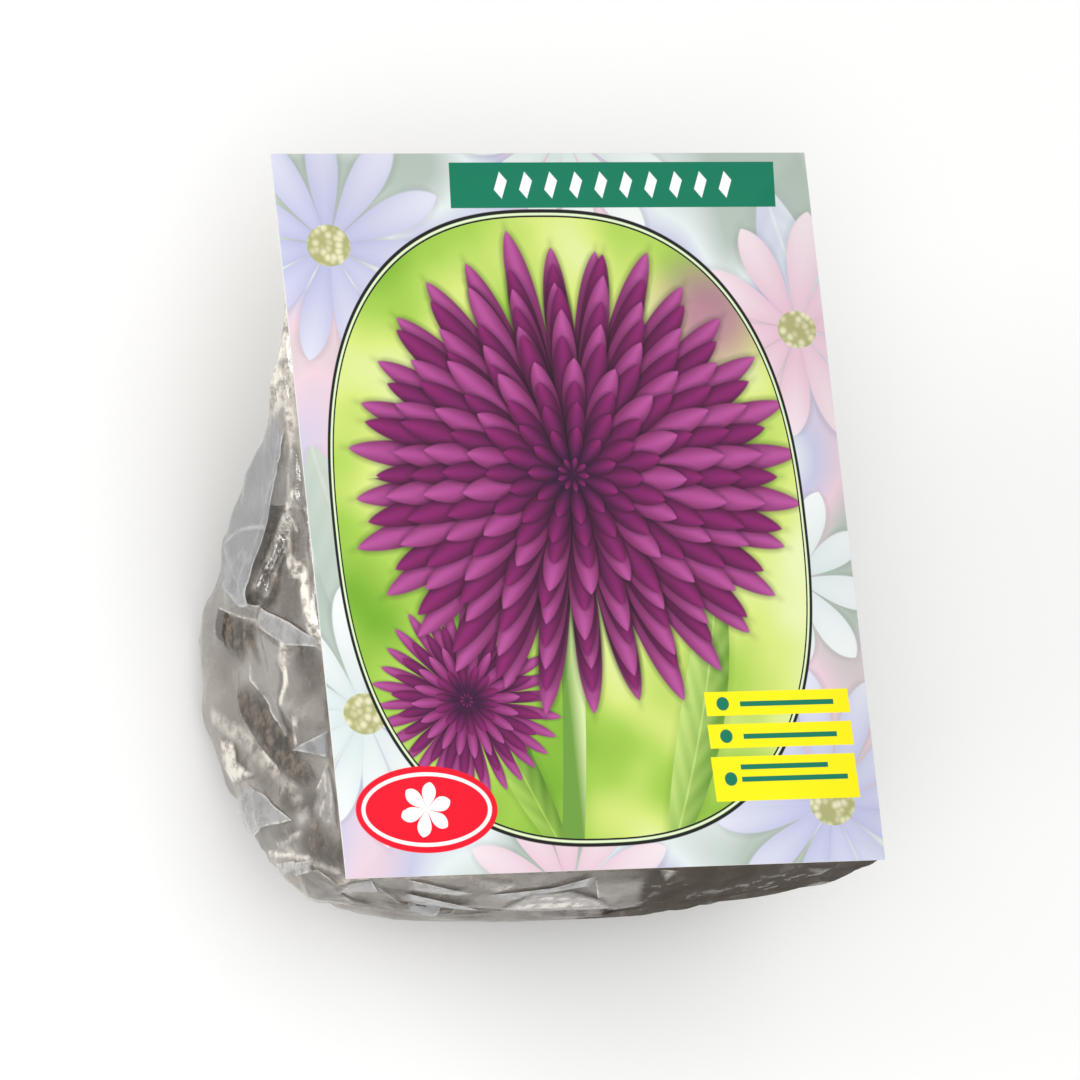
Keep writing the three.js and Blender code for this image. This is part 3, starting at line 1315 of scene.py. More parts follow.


# Each pleat's milk share paints milky whitening and glare on it, and its cool share extra veil and a
# painted cool reflection.
WALL_PLEATS: tuple[Pleat, ...] = (
    Pleat((
        (72, 3.6, 0.3), (78, 5, 0.5), (86, 9, 0.7), (101, 16.5, 1.2),
        (119, 27, 1.8), (123.5, 31, 2.0), (123.6, 35, 2.0), (113, 52, 1.2), (102, 50, 0.2),
        (91, 39, 0.1), (80, 27, 0.1), (73, 15, 0.1),
    ), 0.9, 0.0, (1, 2, 3, 4, 5, 6), (
        Line(((103.5, 47), (102, 36), (103, 27), (105, 18)), 0.55, 0.5),
        Line(((80, 8), (101, 20.5), (117, 31)), 0.3, 0.5), Line(((110, 34), (113, 27)), 0.3, 1.4),
    ), Side.WALL, 0.35, 4.0),
    Pleat((
        (113, 50, 0.5), (121, 37, 0.9), (127, 25, 1.1), (131, 27.5, 0.5), (125.5, 41, 0.4),
        (121, 53, 0.3),
    ), 0.25, 0.05, (1, 3, 4)),
    Pleat((
        (127, 25, 1.1), (134, 11, 1.3), (141, 1, 0.4), (143, 1, 0.2), (139.5, 15, 0.4),
        (131, 27.5, 0.5),
    ), 0.75, 0.25, (0, 1, 3, 4)),
    Pleat((
        (131.5, 27.5, 0.3), (139.5, 16, 1.0), (144, 20, 0.8), (155, 22.5, 0.4), (168, 15.5, 1.4),
        (166, 18, 1.2), (157, 26.5, 0.8), (146, 34, 1.0), (141, 34, 0.4),
    ), 0.3, 0.08, (1, 5, 6, 7)),
    Pleat(((170, 15, 1.5), (167, 1.5, 0.5), (175, 1.5, 0.6)), 0.9, 0.15, (0, 2)),
    Pleat((
        (150, 21, 0.3), (155, 12, 0.5), (153.5, 1, 0.4), (166, 1, 0.7), (166, 8, 0.9),
        (163, 15, 1.0), (157, 22, 0.4),
    ), 0.0, 0.2, (), (), Side.WALL, 0.2, 3.0),
    Pleat((
        (182, 11, 0.3), (176, 1.5, 0.9), (196, 1.5, 0.5), (192, 10, 1.4), (188, 12, 0.9),
    ), 0.25, 0.2, (0,), (
        Line(((177, 4), (190, 9)), 0.7, 0.5), Line(((180, 2), (194, 6)), 0.5, 0.6),
    )),
    Pleat((
        (175, 59, 0.2), (174, 45, 0.5), (178, 37, 0.6), (184, 28, 0.5), (189.5, 20, 0.3),
        (188, 36, 1.7), (189, 46, 1.6), (184, 56, 1.0),
    ), 0.7, 0.25, (1, 2, 3, 4, 5), (Line(((177, 44), (186, 38)), 0.5, 0.6),)),
    Pleat((
        (157, 60, 0.3), (160, 52, 0.6), (166, 52, 1.3), (173, 38, 0.9), (172, 57, 0.5),
        (165, 63, 0.4),
    ), 0.05, 0.75, (), (), Side.WALL, 0.1, 1.4),
    Pleat((
        (203, 22, 0.5), (205, 11, 0.6), (212, 3, 0.5), (215, 20, 0.9), (212, 24, 0.8),
    ), 0.1, 0.0, (0, 1, 2, 3, 4), (), Side.WALL, 0.75),
    Pleat((
        (199, 36, 0.3), (202, 12, 0.5), (205, 13, 1.2), (204, 26, 1.4), (203, 38, 0.5),
    ), 0.6, 0.45, (0, 2)),
)

END_PLEATS: tuple[Pleat, ...] = tuple(
    Pleat(corners, veil_and_cool_reflection, milk_and_glare, free, lines, Side.END, clear, 2.4)
    for corners, veil_and_cool_reflection, milk_and_glare, free, lines, clear in (
        (((-85, 75, 0.2), (-77, 79, 0.3), (-70, 68, 1.0), (-79, 62, 0.4)), 0.6, 0.3, (1,), (), 0.35),
        (((-75, 76, 0.4), (-56, 54, 1.0), (-43, 41, 0.4), (-62, 42, 0.3), (-70, 57, 0.3)),
         0.0, 0.0, (0,), (), 0.8),
        (((-66, 78, 0.3), (-42, 71, 1.3), (-45, 65, 0.4), (-62, 70, 0.3)), 0.5, 0.35, (0,), (), 0.3),
        (((-62, 67, 0.3), (-33, 56, 1.4), (-39, 51, 0.4), (-58, 59, 0.3)), 0.8, 0.35, (0,), (), 0.3),
        (((-48, 79, 0.2), (-30, 76, 0.9), (-35, 69, 0.4)), 0.3, 0.35, (1,), (), 0.35),
        (((-58, 62, 0.2), (-40, 54, 0.8), (-44, 42, 0.5), (-53, 45, 0.2)), 0.85, 0.2, (1,), (), 0.35),
        (((-42, 45, 0.3), (-33, 49, 0.9), (-20, 44, 0.5), (-29, 40, 0.4), (-40, 41, 0.3)),
         0.05, 0.0, (0,), (), 0.7),
        (((-35, 66, 0.2), (-6, 78, 1.2), (-6, 72, 0.3), (-27, 60, 0.2)), 0.7, 0.4, (0,), (), 0.3),
        (((-27, 53, 0.3), (-23, 68, 0.8), (-11, 71, 1.0), (2, 62, 1.0), (14, 51, 0.6), (10, 43, 0.4),
          (-11, 43, 0.3)), 0.35, 0.3, (), (
            Line(((-20, 56), (-4, 58)), 0.9, 2.2), Line(((-13, 50), (6, 51)), 0.8, 2.0),
            Line(((-17, 64), (-10, 63)), 0.7, 1.4)), 0.2),
        (((-6, 76, 0.2), (10, 76, 0.4), (22, 46, 0.3), (12, 46, 1.1), (1, 62, 0.9)),
         0.1, 0.1, (4,), (), 0.45),
        (((13, 78.5, 0.2), (20, 78, 0.5), (17, 74, 1.0)), 0.2, 0.6, (0,), (), 0.35),
        (((59, 77, 0.2), (70, 76, 0.4), (67, 72, 0.8)), 0.3, 0.25, (1,), (), 0.35),
    )
)

# Light lines along the creases: milky whitening with painted glare.
WHITE_AND_GLARE_LINES: tuple[Line, ...] = (
    Line(((139, 17), (144, 20), (150, 20.5), (155, 22.5))), Line(((161, 15.5), (168, 15)), 0.8),
    Line(((74, 3), (82, 3.5), (90, 6), (99, 7), (106, 13), (115, 21), (120, 19)), 0.4, 0.8),
    Line(((98, 5), (105, 10), (112, 14), (117, 9), (122, 5), (132, 4), (141, 3)), 0.7, 1.1),
    Line(((119, 7), (121, 5), (129, 4), (141, 2)), 1.0, 1.6),
    Line(((110, 12), (116, 12), (121, 8)), 0.8), Line(((100, 8), (108, 7)), 0.6, 0.7),
    Line(((151, 62), (158, 51), (170, 36), (180, 20), (189, 16)), 0.4, 2.0),
    Line(((194, 32), (202, 14), (207, 4)), 0.5), Line(((195, 41), (198, 28), (201, 14)), 0.7, 0.7),
    Line(((194, 32), (194, 16)), 0.5, 0.7), Line(((121, 53), (125.5, 41), (131, 27.5)), 0.5, 0.6),
)


CLEARINGS: tuple[Line, ...] = (
    Line(((88, 9), (101, 12), (116, 20), (124, 20)), 0.8, 4.5), Line(((112, 8), (130, 12)), 0.6, 5.5),
    Line(((121, 33), (124, 27)), 0.9, 2.6), Line(((142, 10), (150, 7)), 0.6, 5.0),
    Line(((183, 22), (187, 10)), 0.6, 3.4), Line(((190, 44), (194, 22)), 0.7, 3.6),
    Line(((196, 12), (203, 5)), 0.7, 4.2), Line(((203, 20), (213, 12)), 0.7, 3.6),
)


@dataclass(frozen=True)
class Vent:
    """A punched hole: across from the card's middle, below its top and behind it."""

    across: float
    down: float
    behind: float


@dataclass
class Net:
    """The film's grid, which turns a place on the film into a place in space."""

    down: Array
    steps: Array
    walls: int
    points: Array
    normals: Array
    tree: Optional[BVHTree] = None

    def move(self, points: Array, normals: Array) -> None:
        """Takes the film's new points and normals.

        Args:
            points: its points, by section and by place round it.
            normals: their normals.
        """
        self.points, self.normals = points, normals
        faces = FilmBag.skin(*points.shape[:2])
        self.tree = BVHTree.FromPolygons(points.reshape(-1, 3).tolist(), faces)

    def spread(self) -> tuple[Array, Array]:
        """How far down and how far round the bag each point of the grid is.

        Returns:
            The two distances in millimetres, by section and by place round it.
        """
        columns = self.points.shape[1]
        round_ = self.steps[:, None] * np.maximum(self.walls - np.arange(columns), 0)
        return np.repeat(self.down[:, None], columns, axis=1), round_

    def at(self, places: Array, height: Array, side: Side = Side.WALL) -> Array:
        """Points over the film.

        Args:
            places: places on that side.
            height: how far each is above the film.
            side: the side that the places are on.

        Returns:
            Rows of x, y and z in millimetres.
        """
        if side is Side.END:
            return self.below(places) + np.array([0, -1, 0]) * height[:, None]
        row = np.interp(places[:, 0], self.down, np.arange(len(self.down)))
        step = np.interp(row, np.arange(len(self.steps)), self.steps)
        column = np.clip(self.walls - places[:, 1] / step, 0, self.walls - HAIR)
        r = np.minimum(row.astype(int), len(self.down) - 2)
        c = column.astype(int)
        u, v = (row - r)[:, None], (column - c)[:, None]

        def read(values: Array) -> Array:
            """The value between four neighbours of the grid."""
            near = values[r, c] * (1 - v) + values[r, c + 1] * v
            return near * (1 - u) + (values[r + 1, c] * (1 - v) + values[r + 1, c + 1] * v) * u

        return read(self.points) + read(self.normals) * height[:, None]

    def below(self, places: Array) -> Array:
        """The film's lower end where it is met from below, for each x and z.

        Args:
            places: rows of x and z.

        Returns:
            Rows of x, y and z.
        """
        well_below, lower_end = -300, -105
        met = []
        for x, z in places:
            hit = self.tree.ray_cast(Vector((x, well_below, z)), Vector((0, 1, 0)))[0]
            near = self.tree.find_nearest(Vector((x, lower_end, z)))[0]
            met.append((hit or near)[:])
        return np.array(met)


@dataclass
class FilmBag:
    """The crumpled bag: a filled form with flat facets, laid on its contents, with pleats.

    Sizes are in millimetres. The film clears the contents by the gap, looks for them within the
    search distance, and clings to them within the reach.
    """

    form: BagForm = field(default_factory=BagForm)
    relief: Relief = Relief()
    walls: int = 300
    panel: int = 12
    rows: int = 236
    gap: float = 0.5
    reach: float = 2.2
    search: float = 5.0
    most_lift: float = 4.0
    lift_passes: int = 3
    touch_passes: int = 4
    edge_columns: int = 6
    off_floor: float = 0.15
    lowest: float = 0.05
    near: float = 6.0
    pleat_height: float = 0.3
    rim_share: float = 1.6
    # Painted light on the empty upper stretch, and milky whitening with painted glare on the gathers.
    top_painted_light: float = 0.62
    gather_milk_and_glare: float = 0.15
    wall_width: float = 80.0
    vent_radius: float = 5.5
    vents: tuple[Vent, ...] = (
        Vent(-90.0, 126.0, 50.0), Vent(90.0, 126.0, 50.0), Vent(-30.0, 69.3, 46.0),
        Vent(30.0, 69.3, 46.0),
    )
    finish: FilmFinish = FilmFinish()
    crumpled: Array = field(init=False, repr=False)
    outward: Array = field(init=False, repr=False)
    grid: Array = field(init=False, repr=False)
    mesh: Mesh = field(init=False, repr=False)

    def lay_out(self) -> Net:
        """The crumpled film, before it rests on what is in the bag.

        Returns:
            Its grid.
        """
        shares = self.form.steps(self.rows)
        rings = [self.form.section(d, self.walls, self.panel) for d in shares]
        for ring in rings:
            ring[:, 2] = np.maximum(ring[:, 2], self.off_floor)
        rings += self.end_panel(rings[-1])
        law = np.vstack(rings)
        self.grid = np.arange(len(law)).reshape(len(rings), self.walls + self.panel)
        self.mesh = bpy.data.meshes.new("bag_sheet")
        self.mesh.from_pydata((law * MM).tolist(), [], self.skin(*self.grid.shape))
        self.outward = points_of(self.mesh, "normal")
        net = self.unrolled(law, shares)
        self.crumpled = self.crumple(law, net)
        net.move(self.crumpled.reshape(*self.grid.shape, 3), net.normals)
        return net

    def build(self, net: Net, contents: list[Piece]) -> Piece:
        """The film, laid over what is in the bag.

        Args:
            net: the crumpled film.
            contents: the bulb and the packing.

        Returns:
            The finished object.
        """
        mesh, grid = self.mesh, self.grid
        piece = link("bag_sheet", mesh)
        points, touch = self.rest_on(contents)
        set_points(mesh, points * MM)
        touch = np.maximum(touch, self.over_film(net, CLEARINGS))
        # At the right of the lower end the film shows what is behind it and is made darker.
        touch = np.maximum(touch, dark_end(points))
        self.mark(mesh, self.creases(mesh, net), 0, touch, 1, dark_end(points))
        net.move(*(v.reshape(*grid.shape, 3) for v in (points, points_of(mesh, "normal"))))
        for thing in contents:
            self.tuck_in(thing, net)
        for vent in self.vents:
            self.punch(piece, vent)
        self.add_pleats(piece, net)
        mesh.materials.append(self.finish.material())
        smooth(piece)
        enter(piece, Slot.FILM, Node.FILM)
        return piece

    def unrolled(self, law: Array, shares: Array) -> Net:
        """The grid of the smooth form.

        Args:
            law: the smooth form in millimetres.
            shares: how far down each section is, as shares of the card's height.

        Returns:
            The grid.
        """
        ends = self.grid.shape[0] - len(shares)
        down = np.concatenate([shares, shares[-1] + 0.012 * np.arange(1, ends + 1)])
        around = law[self.grid[:, : self.walls + 1]]
        steps = np.linalg.norm(np.diff(around, axis=1), axis=2).mean(axis=1)
        points, normals = (v.reshape(*self.grid.shape, 3) for v in (law, self.outward))
        return Net(down * self.form.height, steps, self.walls, points, normals)

    def crumple(self, law: Array, net: Net) -> Array:
        """Raises the facets on the smooth form.

        Args:
            law: the smooth form in millimetres.
            net: its grid.

        Returns:
            The new points.
        """
        down, round_ = net.spread()
        far = net.steps[:, None] * np.minimum(np.arange(self.grid.shape[1]), self.walls)
        height = self.relief.heights(down.ravel(), round_.ravel()).reshape(self.grid.shape)
        height += self.streaks(down, round_)
        height = self.softened(height)
        height *= np.clip((down - 12) / 40, 0, 1) * np.clip(np.minimum(round_, far) / 3.0, 0, 1)
        height[:, self.walls + 1:] = 0
        points = law + self.outward * height.ravel()[:, None]
        points[:, 2] = np.clip(points[:, 2], self.lowest, self.form.depth)
        return points

    @staticmethod
    def softened(height: Array, passes: int = 1) -> Array:
        """Heights averaged with their neighbours, as film does not bend to a knife edge.

        Args:
            height: heights over the grid.
            passes: how many times they are averaged.

        Returns:
            The softened heights.
        """
        for axis in (0, 1) * passes:
            padded = np.pad(height, [(1, 1) if k == axis else (0, 0) for k in (0, 1)], mode="edge")
            before = np.split(padded, [-2], axis=axis)[0]
            after = np.split(padded, [2], axis=axis)[1]
            height = 0.25 * before + 0.5 * height + 0.25 * after
        return height

    @staticmethod
    def streaks(down: Array, round_: Array) -> Array:
        """Narrow creases that run beside the card where the side is gathered.

        Args:
            down: distances below the card's top.
            round_: distances round the bag from the card's left edge.

        Returns:
            Their heights.
        """
        wander = round_ + 1.6 * np.sin(down * 0.07) + 0.7 * np.sin(down * 0.19 + 1)
        ridge = np.abs(np.mod(wander / 3.1, 1.0) - 0.5) * 2
        share = np.clip((down - 48) / 14, 0, 1) * np.clip((138 - down) / 20, 0, 1)
        return 1.1 * ridge * share * np.clip((15 - round_) / 4, 0, 1)

    def rest_on(self, contents: list[Piece]) -> tuple[Array, Array]:
        """Lifts the film off its contents, so that their lumps show in it.

        Args:
            contents: the bulb and the packing.

        Returns:
            The new points, and how closely each clings to the contents, from 0 to 1.
        """
        points, outward, grid = self.crumpled, self.outward, self.grid
        lift = np.zeros(len(points))
        space = np.full(len(points), FAR)
        for thing in contents:
            mesh = thing.data
            faces = [tuple(face.vertices) for face in mesh.polygons]
            tree = BVHTree.FromPolygons((points_of(mesh) / MM).tolist(), faces)
            for i, (point, out) in enumerate(zip(points, outward)):
                start = Vector(point + out * self.search)
                far = tree.ray_cast(start, Vector(-out), 2.5 * self.search)[3]
                if far is not None:
                    lift[i] = max(lift[i], self.gap + self.search - far)
                    space[i] = min(space[i], far - self.search)
        lift = np.minimum(lift, self.most_lift).reshape(grid.shape)
        lift = self.softened(lift, self.lift_passes)
        lift[:, self.walls + 1:] = 0
        column = np.arange(grid.shape[1])
        lift *= np.clip(np.minimum(column, self.walls - column) / self.edge_columns, 0, 1)
        lift = lift.ravel()
        raised = points + outward * lift[:, None]
        raised[:, 2] = np.clip(raised[:, 2], self.lowest, self.form.depth)
        touch = np.clip(1.3 - (space + lift - self.gap) / self.reach, 0, 1).reshape(grid.shape)
        return raised, self.softened(touch, self.touch_passes).ravel()

    def tuck_in(self, thing: Piece, net: Net) -> None:
        """Moves the points of something in the bag that reach the film just behind it.

        Args:
            thing: the bulb or the packing.
            net: the film's grid.
        """
        behind = 0.6 * self.gap
        points = points_of(thing.data) / MM
        for i, point in enumerate(points):
            near, normal, _, _ = net.tree.find_nearest(Vector(point), self.near)
            if near is not None and (Vector(point) - near).dot(normal) > -behind:
                points[i] = near - normal * behind
        set_points(thing.data, points * MM)

    def punch(self, piece: Piece, vent: Vent) -> None:
        """Cuts a round hole in the film, where the film is nearest to the vent's place.

        Args:
            piece: the film.
            vent: the hole.
        """
        shift = self.form.shift
        place = Vector((vent.across + shift[0], self.form.height / 2 - vent.down + shift[1],
                        self.form.depth - vent.behind)) * MM
        bm = bmesh.new()
        bm.from_mesh(piece.data)
        middle = min((v.co for v in bm.verts), key=lambda co: (co - place).length).copy()
        radius = self.vent_radius * MM
        inside = [f for f in bm.faces if (f.calc_center_median() - middle).length < radius]
        bmesh.ops.delete(bm, geom=inside, context="FACES")
        rim = {v for e in bm.edges if e.is_boundary for v in e.verts}
        for vert in rim:
            arm = vert.co - middle
            if arm.length < self.rim_share * radius:
                vert.co = middle + arm.normalized() * radius
        bm.to_mesh(piece.data)
        bm.free()

    def add_pleats(self, piece: Piece, net: Net) -> None:
        """Lays the pleats on the film and joins them to it.

        Args:
            piece: the film.
            net: its grid.
        """
        made = []
        for number, pleat in enumerate(WALL_PLEATS + END_PLEATS):
            places, faces = pleat.net()
            height = np.maximum(Relief.facets(np.array(pleat.corners), places), self.pleat_height)
            mesh = bpy.data.meshes.new(f"pleat_{number}")
            mesh.from_pydata((net.at(places, height, pleat.side) * MM).tolist(), [], faces)
            white, present = pleat.milk_and_glare_at(places), pleat.presence(places)
            # The pleat's cool share is its fold value: extra veil and a painted cool reflection.
            self.mark(mesh, white, pleat.veil_and_cool_reflection, pleat.clear, present, 0)
            made.append(link(mesh.name, mesh))
        take(piece)
        for patch in made:
            patch.select_set(True)
        bpy.ops.object.join()

    @staticmethod
    def mark(mesh: Mesh, *values: Union[Number, Array]) -> None:
        """Stores what the film's finish reads.

        Args:
            mesh: the film, or a pleat.
            *values: its values of milky whitening with painted glare, fold, touch, present and
                     darkening at the lower end, or one number for all points.
        """
        for name, value in zip(("whitening_and_glare", "fold", "touch", "present", "end_darkening"), values):
            point_value(mesh, name, np.zeros(len(mesh.vertices)) + value)

    @staticmethod
    def end_panel(ring: Array) -> list[Array]:
        """Sections that close the lower end towards a short seam.

        Args:
            ring: the last section of the form.

        Returns:
            The sections in order.
        """
        middle = (ring.min(axis=0) + ring.max(axis=0)) / 2
        closed = []
        for share, out in ((0.85, 0.5), (0.68, 0.8), (0.5, 0.9), (0.32, 0.8), (0.15, 0.6)):
            inner = middle + (ring - middle) * np.array([0.6 + 0.4 * share, 1, share])
            inner[:, 1] = ring[:, 1] - out
            closed.append(inner)
        return closed

    @staticmethod
    def skin(rings: int, count: int) -> list[tuple[int, ...]]:
        """The faces of a stack of closed sections, with both ends closed.

        Args:
            rings: how many sections there are.
            count: how many points each has.

        Returns:
            The points of each face.
        """
        faces: list[tuple[int, ...]] = []
        for a in range(0, (rings - 1) * count, count):
            b = a + count
            for i in range(count):
                j = (i + 1) % count
                faces.append((a + i, b + i, b + j, a + j))
        faces.append(tuple(range(count)))
        faces.append(tuple((rings - 1) * count + i for i in range(count - 1, -1, -1)))
        return faces

    def over_film(self, net: Net, lines: tuple[Line, ...]) -> Array:
        """How strongly lines on the left wall mark each point of the film.

        Args:
            net: the film's grid.
            lines: the lines.

        Returns:
            One value for each point.
        """
        places = np.column_stack([values.ravel() for values in net.spread()])
        near = np.flatnonzero((places[:, 1] < self.wall_width) & (places[:, 1] > 0.5))
        marked = np.zeros(len(places))
        for line in lines:
            marked[near] = np.maximum(marked[near], line.mask(places[near]))
        return marked

    def creases(self, mesh: Mesh, net: Net) -> Array:
        """How milky the film is at each point, from 0 to 1, with painted glare: at sharp bends,
        gathers and lines, and painted light on its empty upper stretch.

        Args:
            mesh: the film.
            net: its grid.

        Returns:
            One value for each point.
        """
        normals = points_of(mesh, "normal").reshape(*self.grid.shape, 3)
        bend = np.zeros(self.grid.shape)
        for axis in (0, 1):
            turn = np.linalg.norm(normals - np.roll(normals, 1, axis=axis), axis=2)
            bend += turn + np.roll(turn, -1, axis=axis)
        bend[:3] = bend[-3:] = 0
        # Sharp bends are lightened: milky whitening with painted glare.
        milk_and_glare_share = np.clip(bend * 0.5 - 0.25, 0, 0.5)
        down, round_ = net.spread()
        gathers = self.gather_milk_and_glare * np.clip(self.streaks(down, round_) - 0.6, 0, 1)
        # Painted light: the empty upper stretch is painted milky-pale, for the bright floor seen
        # through it.
        empty = self.top_painted_light * np.clip((84 - down) / 18, 0, 1)
        return np.clip((milk_and_glare_share + gathers + empty).ravel() + self.over_film(net, WHITE_AND_GLARE_LINES), 0, 1)


# ---------- picture card ----------
@dataclass(frozen=True)
class Inks:
    """The colours of the print."""

    black: str = "0d0f0d"
    white: str = "f7f9f8"
    band: str = "00795a"
    tag: str = "ffee00"
    badge: str = "ee0026"
    lilac: str = "cfcfea"
    sage: str = "bdc9bf"
    blush: str = "f5d6e2"
    frost: str = "eef5f6"
    cream: str = "f1ecc6"
    lime: str = "d2e27a"
    fresh: str = "a2ca4c"
    leaf: str = "72aa28"
    plum: str = "3f0c3a"
    violet: str = "7e1a60"
    orchid: str = "a9488c"
    shade: str = "3d0b3b"
    haze: str = "b0559b"
    sun: str = "e3ecb0"
    rim: str = "dff0c4"
    mist: str = "d7e0d2"
    seed: str = "b7b67c"
    dim: str = "eef0ef"


@dataclass(frozen=True)
class Ring:
    """One ring of petals on a printed bloom, in millimetres."""

    petals: int
    inner: float
    length: float
    twist: float
    root: str
    tip: str


@dataclass(frozen=True)
class Bloom:
    """A printed flower: where its middle is, and its rings from the outside in."""

    x: float
    y: float
    rings: tuple[Ring, ...]


class PrintArea(Enum):
    """The two areas of the printed face."""

    GROUND = "print_ground"
    PICTURE = "print_picture"


@dataclass(frozen=True)
class PictureFrame:
    """The outline of the picture on the card: an ellipse with fuller corners."""

    x: float = -3.0
    y: float = -5.0
    wide: float = 73.0
    high: float = 91.0
    power: float = 2.5

    def outline(self, turns: Array) -> Array:
        """Points of the outline, from the card's middle.

        Args:
            turns: angles in radians.

        Returns:
            Rows of x and y.
        """
        def reach(share: Array) -> Array:
            """The share of the half size, with its sign."""
            return np.sign(share) * np.abs(share) ** (2 / self.power)

        x = self.x + self.wide * reach(np.cos(turns))
        return np.column_stack([x, self.y + self.high * reach(np.sin(turns))])


FRAME = PictureFrame()


@dataclass(frozen=True)
class Tag:
    """A yellow tag: how far above the card's middle it is, its height and its rule's length."""

    y: float
    high: float
    rule: float


DAISIES: tuple[Bloom, ...] = tuple(
    Bloom(x, y, (Ring(petals, 3.0, reach, 0.3, low, high),))
    for x, y, reach, petals, low, high in (
        (-70.0, 78.0, 34.0, 11, "c3c3e6", "e4e3f6"), (-74.0, -58.0, 33.0, 12, "dfe9ea", "fbfdfd"),
        (76.0, 52.0, 31.0, 10, "efc7d9", "fbe6ee"), (70.0, -88.0, 36.0, 12, "c6c7e9", "e6e6f7"),
        (66.0, -22.0, 24.0, 9, "dfe9ea", "fafdfd"), (8.0, 112.0, 34.0, 12, "dce8e4", "fafdfb"),
        (-16.0, -112.0, 30.0, 11, "efc9da", "fae6ee"),
    )
)
TAGS: tuple[Tag, ...] = (Tag(-58.0, 7.0, 30.0), Tag(-67.5, 7.0, 30.0), Tag(-80.0, 13.0, 34.0))
BAND_PLACE = (22.0, 95.5)
BADGE_PLACE = (-58.0, -86.0)


@dataclass(frozen=True)
class PrintFinish:
    """The printed face: a framed purple bloom on a pastel ground, in satin ink."""

    inks: Inks = Inks()
    rough: float = 0.42
    shine: float = 0.25
    soft: float = 0.12

    def material(self, middle: Pair, area: PrintArea) -> Material:
        """One area of the face as a material.

        Args:
            middle: the card's middle in millimetres.
            area: the picture or the ground round it.

        Returns:
            The material.
        """
        material, graph, shader = new_material(area.value)
        drawing = FaceDrawing(self, graph, middle)
        colour = drawing.picture() if area is PrintArea.PICTURE else drawing.ground()
        graph.feed(shader, {
            "Base Color": colour, "Roughness": self.rough, "Specular IOR Level": self.shine,
        })
        return material


